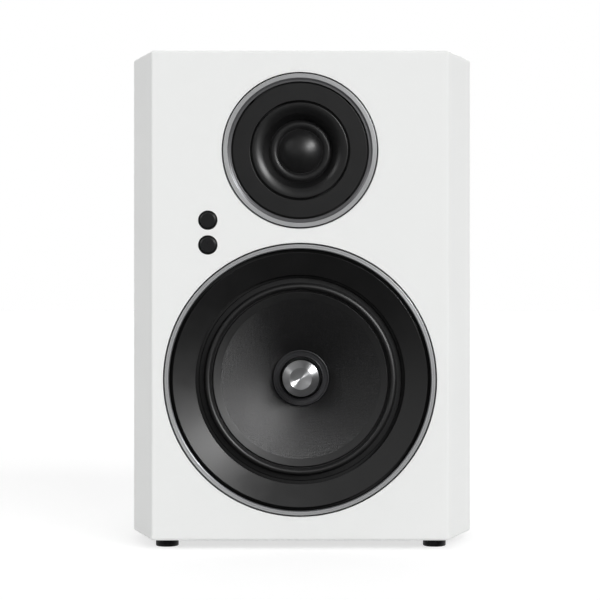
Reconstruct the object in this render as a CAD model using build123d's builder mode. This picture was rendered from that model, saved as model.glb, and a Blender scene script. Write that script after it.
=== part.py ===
"""Powered two-way bookshelf speaker, as an assembly of separate pieces.

Frame: millimetres, +Z up, the front baffle faces -Y, the feet stand on Z = 0.
The origin is under the middle of the whole object.
"Depth" is a distance behind the front face of the baffle, along +Y.
"Height" is a distance above the underside of the cabinet.
"""

import os
from math import acos, atan2, cos, radians, sin, tan

from build123d import *

# ---------------------------------------------------------------- driving dimensions
# Cabinet
cabinet_width = 214.0
cabinet_depth = 240.0
front_width = 182.0  # flat face between the two long bevels
bevel_depth = 50.0
edge_radius = 1.8
panel_thickness = 15.0
baffle_thickness = 22.0
mat_thickness = 10.0
mat_margin = 8.0

# Feet
foot_radius = 7.1
foot_height = 5.5
foot_spacing_x = 166.0
foot_inset_y = 20.0
foot_edge = 0.9

# Margins round the drivers, which set the height of the cabinet
top_margin = 13.2
driver_gap = 8.5
bottom_margin = 14.5

# General fits
fit_gap = 0.2  # radial room for a piece that drops into a hole
ring_gap = 0.6  # shadow gap round a trim ring
ring_proud = 0.8  # trim rings stand this far in front of the baffle
running_fit = 0.08  # radial room for a pin or stem that moves in its hole

# Tweeter
tweeter_seat_radius = 48.0
tweeter_seat_land = 8.0
tweeter_ring_width = 4.7
tweeter_ring_band = 2.9
tweeter_ring_chamfer = 0.5
tweeter_ring_step = 0.3
tweeter_seat_depth = 6.0
tweeter_gasket_thickness = 1.0
tweeter_flange_thickness = 2.5
faceplate_recess = 0.4
faceplate_gap = 1.5
faceplate_inner_radius = 30.6
faceplate_edge = 0.5
horn_lip_radius = 29.3
horn_lip_width = 0.9
horn_throat_radius = 19.1
horn_depth = 7.6
horn_sag = 0.8  # how far its bowl is hollowed behind a straight cone
diaphragm_depth = 9.5
silk_thickness = 0.4
dome_radius = 12.6
dome_rise = 7.3
dome_land_radius = 14.6
tweeter_roll_radius = 2.0
tweeter_flange_land = 1.9
tweeter_plate_thickness = 4.0
tweeter_plate_recess = 1.1
tweeter_gap_outer_radius = 13.4
tweeter_pole_radius = 11.9
tweeter_former_radius = 12.3
tweeter_former_wall = 0.25
tweeter_former_length = 7.6
tweeter_winding_wall = 0.4
tweeter_winding_length = 3.6
tweeter_magnet_inner_radius = 17.0
tweeter_magnet_radius = 35.0
tweeter_magnet_thickness = 12.0
tweeter_back_thickness = 5.0
tweeter_vent_radius = 4.0
tweeter_cup_radius = 29.0
tweeter_cup_length = 16.0
tweeter_cup_wall = 2.0
tweeter_screw_count = 4
tweeter_screw_inset = 4.6

# Woofer
woofer_seat_radius = 83.9
woofer_seat_land = 10.9
woofer_seat_depth = 9.0
woofer_gasket_thickness = 1.0
basket_flange_thickness = 3.0
woofer_ring_width = 3.2
woofer_ring_outer_chamfer = 0.8
woofer_ring_inner_chamfer = 0.9
bezel_gap = 2.7
bezel_width = 13.0
bezel_recess = 0.6
bezel_slope = 20.0  # degrees
bezel_edge = 0.5
bezel_foot_thickness = 1.8
bezel_lip = 0.9
surround_seat_inset = 1.0
surround_ledge_depth = 8.8
surround_ledge_width = 4.8
surround_ledge_thickness = 2.2
rubber_thickness = 0.7
roll_inset = 8.35  # from the seat of the surround to the crest of its roll
roll_radius = 3.35
surround_inner_land = 4.5
cone_rim_gap = 0.5
cone_wall = 0.9
cone_slope = 27.0  # degrees, at the rim
cone_depth = 21.5  # from the rim to the neck
collar_radius = 17.5
collar_height = 3.0
collar_dish = 0.9
collar_edge = 0.6
collar_lift = 1.8
former_radius = 12.9
former_wall = 0.3
winding_radial = 0.7
winding_length = 12.0
former_length = 25.0
basket_plate_depth = 39.5
basket_plate_thickness = 2.5
basket_waist_radius = 46.0
basket_shoulder_inset = 2.1
basket_window_count = 6
basket_spoke_angle = 20.0
spider_ledge_radius = 35.0
spider_ledge_height = 5.0
spider_thickness = 0.5
spider_inner_flat = 3.6
spider_wave_count = 4
spider_flange = 8.0
woofer_plate_thickness = 6.0
woofer_plate_radius = 44.0
woofer_gap_outer_radius = 14.4
woofer_pole_radius = 12.5
pole_rise = 1.5
woofer_magnet_inner_radius = 22.0
woofer_magnet_radius = 47.5
woofer_magnet_thickness = 16.0
woofer_back_thickness = 6.0
woofer_vent_radius = 4.0
plug_radius = 12.2
plug_top_depth = 15.2
plug_face_radius = 6.7
plug_flank_radius = 11.5
plug_flank_rise = 3.4
plug_dish = 1.5
plug_shoulder = 1.0
woofer_screw_count = 6
woofer_screw_inset = 5.4
woofer_screw_radius = 2.0
woofer_screw_head = 3.6
woofer_screw_length = 16.0
tweeter_screw_radius = 1.5
tweeter_screw_head = 2.8
tweeter_screw_length = 14.0

# Front buttons
button_x = -56.4
button_drop = 50.3  # from the middle of the tweeter to the middle of the pair
button_pitch = 15.15
button_hole_radius = 5.95
sleeve_wall = 0.65
sleeve_flange_corner = 3.0
sleeve_flange_thickness = 1.5
button_gap = 0.3
button_proud = 0.7
button_edge = 0.8
button_skirt = 6.0
button_stem_radius = 2.0
stem_entry = 0.6
lens_radius = 0.75
lens_depth = 1.5
lens_offset = 1.6
switch_size = 8.0
switch_height = 4.0
switch_hole_depth = 2.0
switch_clearance = 2.5
button_board_width = 22.0
button_board_height = 38.0
board_thickness = 1.6
board_post_radius = 2.6
board_screw_radius = 1.2
board_screw_head = 2.2
board_screw_length = 6.5
button_post_offset = 15.8

# Reflex port in the rear panel
port_drop = 64.0  # from the top of the cabinet
port_radius = 20.0
port_wall = 2.2
port_length = 108.0
port_flare_radius = 12.0
port_flange_thickness = 3.0
port_inner_flare = 6.0
port_flange_radius = 37.0
port_flange_edge = 1.0

# Amplifier
plate_width = 158.0
plate_height = 116.0
plate_thickness = 2.5
plate_corner = 5.0
plate_rise = 36.0  # from the underside of the cabinet
cutout_margin = 11.0
plate_screw_radius = 1.7
plate_screw_head = 3.1
plate_screw_head_height = 1.6
plate_screw_length = 14.0
plate_screw_inset = 5.5
board_gap = 20.0  # room between plate and amplifier board
board_margin = 4.0
standoff_radius = 3.0
sink_width = 60.0
sink_height = 40.0
sink_depth = 22.0
sink_base = 4.0
sink_fins = 9
sink_fin_thickness = 1.8
sink_place = (24.0, -14.0)

# Controls and sockets on the plate, measured from its middle, seen from behind
knob_offset = (42.0, 30.0)
knob_radius = 9.0
knob_length = 13.0
knob_gap = 0.8
knob_grip_count = 24
knob_grip_depth = 0.5
shaft_radius = 3.0
pot_radius = 8.0
pot_length = 12.0
pot_bush_radius = 4.5
pot_bore = 8.0
pot_end_gap = 0.5
knob_cap = 3.0
knob_mark_width = 1.2
knob_mark_depth = 0.5
jack_offset = (-36.0, 30.0)
jack_pitch = 16.0
jack_radius = 4.15
jack_length = 9.0
jack_insert_radius = 3.4
jack_insert_recess = 0.6
jack_tail = 10.0
jack_pin_radius = 1.6
jack_nut_radius = 6.2
jack_nut_thickness = 2.0
slide_offset = (4.0, 30.0)
slide_width = 14.0
slide_height = 7.0
slide_slot_height = 4.4
slide_frame_thickness = 1.0
slider_width = 4.4
slider_travel = 4.2
slider_reach = 2.6
slider_gap = 0.3
slide_slot_depth = 3.0
slide_tail = 7.0
inlet_offset = (-34.0, -26.0)
inlet_width = 30.0
inlet_height = 18.0
inlet_lip = 1.5
inlet_recess_width = 15.2
inlet_recess_height = 9.2
inlet_recess_depth = 12.0
inlet_pin_radius = 1.2
inlet_pin_spacing = 8.8
inlet_pin_length = 9.0
inlet_body_depth = 17.0
rocker_offset = (34.0, -26.0)
rocker_frame_width = 21.0
rocker_frame_height = 27.0
rocker_frame_lip = 1.8
rocker_width = 14.0
rocker_height = 21.0
rocker_throw = 12.0  # degrees each way about level
rocker_pin_radius = 1.6
rocker_body_depth = 16.0
rocker_gap = 0.3
rocker_pocket = 7.0
rocker_pin_reach = 1.4
rocker_inside = 3.5
rocker_outside = 2.6

# ---------------------------------------------------------------- derived sizes
driver_diameters = 2 * (woofer_seat_radius + tweeter_seat_radius)
cabinet_height = top_margin + driver_gap + bottom_margin + driver_diameters
woofer_height = bottom_margin + woofer_seat_radius
tweeter_height = cabinet_height - top_margin - tweeter_seat_radius
button_height = tweeter_height - button_drop
port_height = cabinet_height - port_drop
plate_middle_height = plate_rise + plate_height / 2

tweeter_hole_radius = tweeter_seat_radius - tweeter_seat_land
tweeter_screw_circle = tweeter_seat_radius - tweeter_screw_inset
tweeter_ring_outer = tweeter_seat_radius - ring_gap
tweeter_ring_inner = tweeter_ring_outer - tweeter_ring_width
tweeter_band_inner = tweeter_ring_outer - tweeter_ring_band
faceplate_outer_radius = tweeter_ring_inner - faceplate_gap

woofer_hole_radius = woofer_seat_radius - woofer_seat_land
woofer_screw_circle = woofer_seat_radius - woofer_screw_inset
woofer_ring_outer = woofer_seat_radius - ring_gap
woofer_ring_inner = woofer_ring_outer - woofer_ring_width
bezel_outer_radius = woofer_ring_inner - bezel_gap
bezel_inner_radius = bezel_outer_radius - bezel_width
surround_seat_radius = bezel_inner_radius + surround_seat_inset
surround_ledge_radius = surround_seat_radius - surround_ledge_width
roll_middle_radius = surround_seat_radius - roll_inset
surround_inner_radius = roll_middle_radius - roll_radius - surround_inner_land
cone_rim_radius = roll_middle_radius - roll_radius - cone_rim_gap
basket_barrel_radius = woofer_hole_radius - 2 * fit_gap
basket_shoulder_radius = basket_barrel_radius - basket_shoulder_inset

# ---------------------------------------------------------------- derived places
rear_reach = plate_thickness + knob_gap + knob_length  # the knob is the rearmost piece
face_y = -(ring_proud + cabinet_depth + rear_reach) / 2 + ring_proud
floor_z = foot_height  # underside of the cabinet
inner_half_width = cabinet_width / 2 - panel_thickness
rear_inner_depth = cabinet_depth - panel_thickness


def at_depth(depth):
    """The Y of a point that lies this far behind the face of the baffle."""
    return face_y + depth


def at_height(height):
    """The Z of a point that lies this far above the underside of the cabinet."""
    return floor_z + height


def facing_front(depth, x=0.0, height=0.0):
    """A plane parallel to the baffle: its x is +X, its y is +Z and its normal is -Y."""
    return Plane(
        origin=(x, at_depth(depth), at_height(height)),
        x_dir=(1, 0, 0),
        z_dir=(0, -1, 0),
    )


def facing_rear(depth, height):
    """A plane seen from behind: its x is -X, its y is +Z and its normal is +Y."""
    return Plane(
        origin=(0, at_depth(depth), at_height(height)), x_dir=(-1, 0, 0), z_dir=(0, 1, 0)
    )


def turning(x, height):
    """The half plane for a turned piece on a front-to-back axis: (radius, depth)."""
    return Plane(origin=(x, face_y, at_height(height)))


def slab(x_range, depth_range, height_range, mode=Mode.ADD):
    """A box between two values on each axis, in the builder that is open."""
    spans = (x_range, [at_depth(d) for d in depth_range], [at_height(h) for h in height_range])
    with Locations([tuple((low + high) / 2 for low, high in spans)]):
        Box(*[high - low for low, high in spans], mode=mode)


woofer_plane = turning(0, woofer_height)
woofer_axis = Axis(woofer_plane.origin, (0, 1, 0))
tweeter_plane = turning(0, tweeter_height)
tweeter_axis = Axis(tweeter_plane.origin, (0, 1, 0))


# ---------------------------------------------------------------- cabinet
half_front = front_width / 2
half_width = cabinet_width / 2
inside_heights = (panel_thickness, cabinet_height - panel_thickness)
carcass_depths = (baffle_thickness, cabinet_depth)
button_heights = (button_height + button_pitch / 2, button_height - button_pitch / 2)
cutout_width = plate_width - 2 * cutout_margin
cutout_height = plate_height - 2 * cutout_margin

tweeter_gasket_depth = tweeter_seat_depth - tweeter_gasket_thickness
tweeter_bed_depth = tweeter_gasket_depth - tweeter_flange_thickness
woofer_gasket_depth = woofer_seat_depth - woofer_gasket_thickness
woofer_bed_depth = woofer_gasket_depth - basket_flange_thickness
tweeter_bed = facing_front(tweeter_bed_depth, 0, tweeter_height)
woofer_bed = facing_front(woofer_bed_depth, 0, woofer_height)
tweeter_spots = PolarLocations(tweeter_screw_circle, tweeter_screw_count, start_angle=45)
woofer_spots = PolarLocations(woofer_screw_circle, woofer_screw_count, start_angle=30)
hanging = (Align.CENTER, Align.CENTER, Align.MAX)


def countersunk(spots, radius, head_radius, length, mode=Mode.ADD):
    """Screws that hang from the plane in use, their heads level with it."""
    with spots:
        Cylinder(radius, length, align=hanging, mode=mode)
        Cone(radius, head_radius, head_radius - radius, align=hanging, mode=mode)


# The outside of the whole cabinet; each panel is the part of it that lies in its own slab.
with BuildPart() as cabinet_outside:
    with BuildSketch(Plane.XY.offset(floor_z)):
        Polygon(
            (-half_front, at_depth(0)),
            (half_front, at_depth(0)),
            (half_width, at_depth(bevel_depth)),
            (half_width, at_depth(cabinet_depth)),
            (-half_width, at_depth(cabinet_depth)),
            (-half_width, at_depth(bevel_depth)),
            align=None,
        )
    extrude(amount=cabinet_height)
    fillet(cabinet_outside.edges(), radius=edge_radius)

with BuildPart() as front_baffle:
    slab((-half_width, half_width), (0, baffle_thickness), (0, cabinet_height))
    add(cabinet_outside.part, mode=Mode.INTERSECT)
    for height, radius, depth in (
        (woofer_height, woofer_seat_radius, woofer_seat_depth),
        (woofer_height, woofer_hole_radius, baffle_thickness),
        (tweeter_height, tweeter_seat_radius, tweeter_seat_depth),
        (tweeter_height, tweeter_hole_radius, baffle_thickness),
    ):
        with BuildSketch(facing_front(0, 0, height)):
            Circle(radius)
        extrude(amount=-depth, mode=Mode.SUBTRACT)
    for plane, spots, radius, length in (
        (woofer_bed, woofer_spots, woofer_screw_radius, woofer_screw_length),
        (tweeter_bed, tweeter_spots, tweeter_screw_radius, tweeter_screw_length),
    ):
        with BuildSketch(plane):
            with spots:
                Circle(radius)
        extrude(amount=-length, mode=Mode.SUBTRACT)
    with BuildSketch(facing_front(0)):
        with Locations(*[(button_x, height) for height in button_heights]):
            Circle(button_hole_radius)
    extrude(amount=-baffle_thickness, mode=Mode.SUBTRACT)

with BuildPart() as top_panel:
    slab((-half_width, half_width), carcass_depths, (inside_heights[1], cabinet_height))
    add(cabinet_outside.part, mode=Mode.INTERSECT)

with BuildPart() as bottom_panel:
    slab((-half_width, half_width), carcass_depths, (0, panel_thickness))
    add(cabinet_outside.part, mode=Mode.INTERSECT)

with BuildPart() as left_side_panel:
    slab((-half_width, -inner_half_width), carcass_depths, inside_heights)
    add(cabinet_outside.part, mode=Mode.INTERSECT)

with BuildPart() as right_side_panel:
    slab((inner_half_width, half_width), carcass_depths, inside_heights)
    add(cabinet_outside.part, mode=Mode.INTERSECT)

plate_screw_x = plate_width / 2 - plate_screw_inset
plate_screw_y = plate_height / 2 - plate_screw_inset
plate_screw_places = [
    (x, y) for x in (-plate_screw_x, 0, plate_screw_x) for y in (-plate_screw_y, plate_screw_y)
]
port_hole_radius = port_radius + port_flare_radius + 1

with BuildPart() as rear_panel:
    slab((-inner_half_width, inner_half_width), (rear_inner_depth, cabinet_depth), inside_heights)
    with BuildSketch(facing_rear(cabinet_depth, plate_middle_height)):
        Rectangle(cutout_width, cutout_height)
    extrude(amount=-panel_thickness, mode=Mode.SUBTRACT)
    with BuildSketch(facing_rear(cabinet_depth, plate_middle_height)):
        with Locations(*plate_screw_places):
            Circle(plate_screw_radius)
    extrude(amount=-(plate_screw_length - plate_thickness), mode=Mode.SUBTRACT)
    with BuildSketch(facing_rear(cabinet_depth, port_height)):
        Circle(port_hole_radius)
    extrude(amount=-panel_thickness, mode=Mode.SUBTRACT)

mat_heights = (inside_heights[0] + mat_margin, inside_heights[1] - mat_margin)

mat_depths = (baffle_thickness + mat_margin, rear_inner_depth - mat_margin)

with BuildPart() as damping_mats:
    for side in (-1, 1):
        x_range = sorted((side * inner_half_width, side * (inner_half_width - mat_thickness)))
        slab(x_range, mat_depths, mat_heights)

foot_spacing_y = cabinet_depth - 2 * foot_inset_y

with BuildPart(Plane(origin=(0, at_depth(cabinet_depth / 2), 0))) as rubber_feet:
    with GridLocations(foot_spacing_x, foot_spacing_y, 2, 2):
        Cylinder(foot_radius, foot_height, align=(Align.CENTER, Align.CENTER, Align.MIN))
    fillet(rubber_feet.edges().group_by(Axis.Z)[0], radius=foot_edge)

# ---------------------------------------------------------------- tweeter
with BuildPart() as tweeter_trim_ring:
    with BuildSketch(tweeter_plane):
        Polygon(
            (tweeter_ring_outer, tweeter_bed_depth),
            (tweeter_ring_outer, tweeter_ring_chamfer - ring_proud),
            (tweeter_ring_outer - tweeter_ring_chamfer, -ring_proud),
            (tweeter_band_inner, -ring_proud),
            (tweeter_band_inner, tweeter_ring_step - ring_proud),
            (tweeter_band_inner - tweeter_ring_step, tweeter_ring_step - ring_proud),
            (tweeter_ring_inner, faceplate_recess),
            (tweeter_ring_inner, tweeter_bed_depth),
            align=None,
        )
    revolve(axis=tweeter_axis)

with BuildPart() as tweeter_faceplate:
    with BuildSketch(tweeter_plane):
        Polygon(
            (faceplate_inner_radius, tweeter_bed_depth),
            (faceplate_inner_radius, faceplate_recess + faceplate_edge),
            (faceplate_inner_radius + faceplate_edge, faceplate_recess),
            (faceplate_outer_radius - faceplate_edge, faceplate_recess),
            (faceplate_outer_radius, faceplate_recess + faceplate_edge),
            (faceplate_outer_radius, tweeter_bed_depth),
            align=None,
        )
    revolve(axis=tweeter_axis)

diaphragm_flange_radius = 2 * tweeter_roll_radius + dome_land_radius + tweeter_flange_land
diaphragm_seat_radius = diaphragm_flange_radius + fit_gap
silk_back = diaphragm_depth + silk_thickness
tweeter_plate_depth = silk_back + tweeter_plate_recess  # its front face, at the gap
tweeter_barrel_radius = tweeter_hole_radius - 2 * fit_gap
horn_lip_top = horn_lip_radius - horn_lip_width
horn_angle = atan2(horn_depth - faceplate_recess, horn_lip_top - horn_throat_radius)
horn_middle_radius = (horn_lip_top + horn_throat_radius) / 2 + horn_sag * sin(horn_angle)
horn_middle_depth = (faceplate_recess + horn_depth) / 2 + horn_sag * cos(horn_angle)

with BuildPart(tweeter_bed) as tweeter_waveguide:
    with BuildSketch(tweeter_plane):
        with BuildLine():
            Polyline(
                (horn_lip_top, faceplate_recess),
                (horn_lip_radius, faceplate_recess + horn_lip_width),
                (horn_lip_radius, tweeter_bed_depth),
                (tweeter_ring_outer, tweeter_bed_depth),
                (tweeter_ring_outer, tweeter_bed_depth + tweeter_flange_thickness),
                (tweeter_barrel_radius, tweeter_bed_depth + tweeter_flange_thickness),
                (tweeter_barrel_radius, silk_back),
                (diaphragm_seat_radius, silk_back),
                (diaphragm_seat_radius, diaphragm_depth),
                (horn_throat_radius, diaphragm_depth),
                (horn_throat_radius, horn_depth),
            )
            ThreePointArc(
                (horn_throat_radius, horn_depth),
                (horn_middle_radius, horn_middle_depth),
                (horn_lip_top, faceplate_recess),
            )
        make_face()
    revolve(axis=tweeter_axis)
    countersunk(
        tweeter_spots,
        tweeter_screw_radius + fit_gap,
        tweeter_screw_head,
        tweeter_flange_thickness,
        mode=Mode.SUBTRACT,
    )

with BuildPart() as tweeter_gasket:
    with BuildSketch(facing_front(tweeter_gasket_depth, 0, tweeter_height)):
        Circle(tweeter_ring_outer)
        Circle(tweeter_hole_radius, mode=Mode.SUBTRACT)
        with tweeter_spots:
            Circle(tweeter_screw_radius + fit_gap, mode=Mode.SUBTRACT)
    extrude(amount=-tweeter_gasket_thickness)

with BuildPart(tweeter_bed) as tweeter_screws:
    countersunk(tweeter_spots, tweeter_screw_radius, tweeter_screw_head, tweeter_screw_length)

roll_in = dome_land_radius
roll_out = dome_land_radius + 2 * tweeter_roll_radius
roll_crest = dome_land_radius + tweeter_roll_radius

with BuildPart() as tweeter_surround:
    with BuildSketch(tweeter_plane):
        with BuildLine():
            ThreePointArc(
                (roll_in, diaphragm_depth),
                (roll_crest, diaphragm_depth - tweeter_roll_radius),
                (roll_out, diaphragm_depth),
            )
            Polyline(
                (roll_out, diaphragm_depth),
                (diaphragm_flange_radius, diaphragm_depth),
                (diaphragm_flange_radius, silk_back),
                (roll_out - silk_thickness, silk_back),
            )
            ThreePointArc(
                (roll_out - silk_thickness, silk_back),
                (roll_crest, diaphragm_depth - tweeter_roll_radius + silk_thickness),
                (roll_in + silk_thickness, silk_back),
            )
            Polyline(
                (roll_in + silk_thickness, silk_back),
                (roll_in, silk_back),
                (roll_in, diaphragm_depth),
            )
        make_face()
    revolve(axis=tweeter_axis)

dome_sphere_radius = (dome_radius**2 + dome_rise**2) / (2 * dome_rise)
dome_middle = diaphragm_depth - dome_rise + dome_sphere_radius


def dome_arc(sphere_radius, foot_depth):
    """The three points of an arc from the top of the dome down to this depth."""
    half_angle = acos((dome_middle - foot_depth) / sphere_radius)
    return [
        (sphere_radius * sin(angle), dome_middle - sphere_radius * cos(angle))
        for angle in (0, half_angle / 2, half_angle)
    ]


dome_outside = dome_arc(dome_sphere_radius, diaphragm_depth)
dome_inside = dome_arc(dome_sphere_radius - silk_thickness, silk_back)

with BuildPart() as tweeter_dome:
    with BuildSketch(tweeter_plane):
        with BuildLine():
            ThreePointArc(*dome_outside)
            Polyline(
                dome_outside[-1],
                (dome_land_radius, diaphragm_depth),
                (dome_land_radius, silk_back),
                dome_inside[-1],
            )
            ThreePointArc(*reversed(dome_inside))
            Line(dome_inside[0], dome_outside[0])
        make_face()
    revolve(axis=tweeter_axis)

tweeter_former_outer = tweeter_former_radius + tweeter_former_wall
tweeter_winding_outer = tweeter_former_outer + tweeter_winding_wall
tweeter_winding_depth = tweeter_plate_depth + (tweeter_plate_thickness - tweeter_winding_length) / 2

with BuildPart() as tweeter_coil_former:
    with BuildSketch(facing_front(silk_back, 0, tweeter_height)):
        Circle(tweeter_former_outer)
        Circle(tweeter_former_radius, mode=Mode.SUBTRACT)
    extrude(amount=-tweeter_former_length)

with BuildPart() as tweeter_voice_coil:
    with BuildSketch(facing_front(tweeter_winding_depth, 0, tweeter_height)):
        Circle(tweeter_winding_outer)
        Circle(tweeter_former_outer, mode=Mode.SUBTRACT)
    extrude(amount=-tweeter_winding_length)

tweeter_magnet_depth = tweeter_plate_depth + tweeter_plate_thickness
tweeter_back_depth = tweeter_magnet_depth + tweeter_magnet_thickness
tweeter_rear_depth = tweeter_back_depth + tweeter_back_thickness

with BuildPart() as tweeter_top_plate:
    with BuildSketch(tweeter_plane):
        Polygon(
            (tweeter_gap_outer_radius, tweeter_plate_depth),
            (roll_out + fit_gap, tweeter_plate_depth),
            (roll_out + fit_gap, silk_back),
            (tweeter_magnet_radius, silk_back),
            (tweeter_magnet_radius, tweeter_magnet_depth),
            (tweeter_gap_outer_radius, tweeter_magnet_depth),
            align=None,
        )
    revolve(axis=tweeter_axis)

with BuildPart() as tweeter_magnet:
    with BuildSketch(facing_front(tweeter_magnet_depth, 0, tweeter_height)):
        Circle(tweeter_magnet_radius)
        Circle(tweeter_magnet_inner_radius, mode=Mode.SUBTRACT)
    extrude(amount=-tweeter_magnet_thickness)

with BuildPart() as tweeter_yoke:
    with BuildSketch(tweeter_plane):
        Polygon(
            (tweeter_vent_radius, tweeter_plate_depth),
            (tweeter_pole_radius, tweeter_plate_depth),
            (tweeter_pole_radius, tweeter_back_depth),
            (tweeter_magnet_radius, tweeter_back_depth),
            (tweeter_magnet_radius, tweeter_rear_depth),
            (tweeter_vent_radius, tweeter_rear_depth),
            align=None,
        )
    revolve(axis=tweeter_axis)

with BuildPart() as tweeter_rear_chamber:
    with BuildSketch(facing_front(tweeter_rear_depth, 0, tweeter_height)):
        Circle(tweeter_cup_radius)
    extrude(amount=-tweeter_cup_length)
    with BuildSketch(facing_front(tweeter_rear_depth, 0, tweeter_height)):
        Circle(tweeter_cup_radius - tweeter_cup_wall)
    extrude(amount=-(tweeter_cup_length - tweeter_cup_wall), mode=Mode.SUBTRACT)

# ---------------------------------------------------------------- woofer
with BuildPart() as woofer_trim_ring:
    with BuildSketch(woofer_plane):
        Polygon(
            (woofer_ring_outer, woofer_bed_depth),
            (woofer_ring_outer, woofer_ring_outer_chamfer - ring_proud),
            (woofer_ring_outer - woofer_ring_outer_chamfer, -ring_proud),
            (woofer_ring_inner + woofer_ring_inner_chamfer, -ring_proud),
            (woofer_ring_inner, woofer_ring_inner_chamfer - ring_proud),
            (woofer_ring_inner, woofer_bed_depth),
            align=None,
        )
    revolve(axis=woofer_axis)

bezel_fall = (bezel_outer_radius - bezel_inner_radius) * tan(radians(bezel_slope))
bezel_inner_depth = bezel_recess + bezel_fall

with BuildPart() as woofer_bezel:
    with BuildSketch(woofer_plane):
        Polygon(
            (woofer_ring_inner - fit_gap, woofer_bed_depth),
            (woofer_ring_inner - fit_gap, woofer_bed_depth - bezel_foot_thickness),
            (bezel_outer_radius, woofer_bed_depth - bezel_foot_thickness),
            (bezel_outer_radius, bezel_recess + bezel_edge),
            (bezel_outer_radius - bezel_edge, bezel_recess),
            (bezel_inner_radius, bezel_inner_depth),
            (bezel_inner_radius, bezel_inner_depth + bezel_lip),
            (surround_seat_radius - fit_gap, bezel_inner_depth + bezel_lip),
            (surround_seat_radius - fit_gap, woofer_bed_depth),
            align=None,
        )
    revolve(axis=woofer_axis)

ledge_top = surround_ledge_depth + rubber_thickness
ledge_back = ledge_top + surround_ledge_thickness
plate_hole_radius = spider_ledge_radius - 5
basket_back = basket_plate_depth + basket_plate_thickness
basket_run = (basket_shoulder_radius - basket_waist_radius) / (basket_plate_depth - ledge_back)
basket_wall = basket_plate_thickness * (1 + basket_run**2) ** 0.5
window_front = ledge_back + basket_plate_thickness
window_back = basket_plate_depth - basket_plate_thickness
spider_land_radius = spider_ledge_radius + spider_flange

with BuildPart(woofer_bed) as woofer_basket:
    with BuildSketch(woofer_plane):
        Polygon(
            (surround_seat_radius, woofer_bed_depth),
            (woofer_ring_outer, woofer_bed_depth),
            (woofer_ring_outer, woofer_bed_depth + basket_flange_thickness),
            (basket_barrel_radius, woofer_bed_depth + basket_flange_thickness),
            (basket_barrel_radius, ledge_back),
            (basket_shoulder_radius, ledge_back),
            (basket_waist_radius, basket_plate_depth),
            (basket_waist_radius, basket_back),
            (plate_hole_radius, basket_back),
            (plate_hole_radius, basket_plate_depth),
            (spider_ledge_radius, basket_plate_depth),
            (spider_ledge_radius, basket_plate_depth - spider_ledge_height),
            (spider_land_radius, basket_plate_depth - spider_ledge_height),
            (spider_land_radius, basket_plate_depth),
            (basket_waist_radius - basket_wall, basket_plate_depth),
            (basket_shoulder_radius - basket_wall, ledge_back),
            (surround_ledge_radius, ledge_back),
            (surround_ledge_radius, ledge_top),
            (surround_seat_radius, ledge_top),
            align=None,
        )
    revolve(axis=woofer_axis)
    for number in range(basket_window_count):
        turn = radians(360 * number / basket_window_count + basket_spoke_angle / 2)
        with BuildSketch(
            Plane(
                origin=woofer_plane.origin,
                x_dir=(cos(turn), 0, sin(turn)),
                z_dir=(-sin(turn), 0, cos(turn)),
            )
        ):
            front_radius = basket_shoulder_radius - basket_run * basket_plate_thickness
            back_radius = basket_waist_radius + basket_run * basket_plate_thickness
            Polygon(
                (front_radius - basket_wall - 0.5, window_front),
                (front_radius + 5, window_front),
                (back_radius + 5, window_back),
                (back_radius - basket_wall - 0.5, window_back),
                align=None,
            )
        revolve(
            axis=woofer_axis,
            revolution_arc=-(360 / basket_window_count - basket_spoke_angle),
            mode=Mode.SUBTRACT,
        )
    countersunk(
        woofer_spots,
        woofer_screw_radius + fit_gap,
        woofer_screw_head,
        basket_flange_thickness,
        mode=Mode.SUBTRACT,
    )

with BuildPart() as woofer_gasket:
    with BuildSketch(facing_front(woofer_gasket_depth, 0, woofer_height)):
        Circle(woofer_ring_outer)
        Circle(woofer_hole_radius, mode=Mode.SUBTRACT)
        with woofer_spots:
            Circle(woofer_screw_radius + fit_gap, mode=Mode.SUBTRACT)
    extrude(amount=-woofer_gasket_thickness)

with BuildPart(woofer_bed) as woofer_screws:
    countersunk(woofer_spots, woofer_screw_radius, woofer_screw_head, woofer_screw_length)

roll_start = roll_middle_radius - roll_radius
roll_end = roll_middle_radius + roll_radius
surround_flange_radius = surround_seat_radius - fit_gap

with BuildPart() as woofer_surround:
    with BuildSketch(woofer_plane):
        with BuildLine():
            Line((surround_inner_radius, surround_ledge_depth), (roll_start, surround_ledge_depth))
            ThreePointArc(
                (roll_start, surround_ledge_depth),
                (roll_middle_radius, surround_ledge_depth - roll_radius),
                (roll_end, surround_ledge_depth),
            )
            Polyline(
                (roll_end, surround_ledge_depth),
                (surround_flange_radius, surround_ledge_depth),
                (surround_flange_radius, ledge_top),
                (roll_end - rubber_thickness, ledge_top),
            )
            ThreePointArc(
                (roll_end - rubber_thickness, ledge_top),
                (roll_middle_radius, ledge_top - roll_radius),
                (roll_start + rubber_thickness, ledge_top),
            )
            Polyline(
                (roll_start + rubber_thickness, ledge_top),
                (surround_inner_radius, ledge_top),
                (surround_inner_radius, surround_ledge_depth),
            )
        make_face()
    revolve(axis=woofer_axis)

# The cone steepens from its rim to its neck: an arc, bowed forward of its chord.
former_outer = former_radius + former_wall
cone_run = surround_inner_radius - former_outer
cone_chord = (cone_run**2 + cone_depth**2) ** 0.5
chord_angle = atan2(cone_depth, cone_run)
cone_bow = cone_chord / 2 * tan((chord_angle - radians(cone_slope)) / 2)
cone_front = (
    (surround_inner_radius, ledge_top),
    (
        (surround_inner_radius + former_outer) / 2 - cone_bow * sin(chord_angle),
        ledge_top + cone_depth / 2 - cone_bow * cos(chord_angle),
    ),
    (former_outer, ledge_top + cone_depth),
)
cone_back = [(radius, depth + cone_wall) for radius, depth in reversed(cone_front)]
neck_depth = ledge_top + cone_depth

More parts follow.
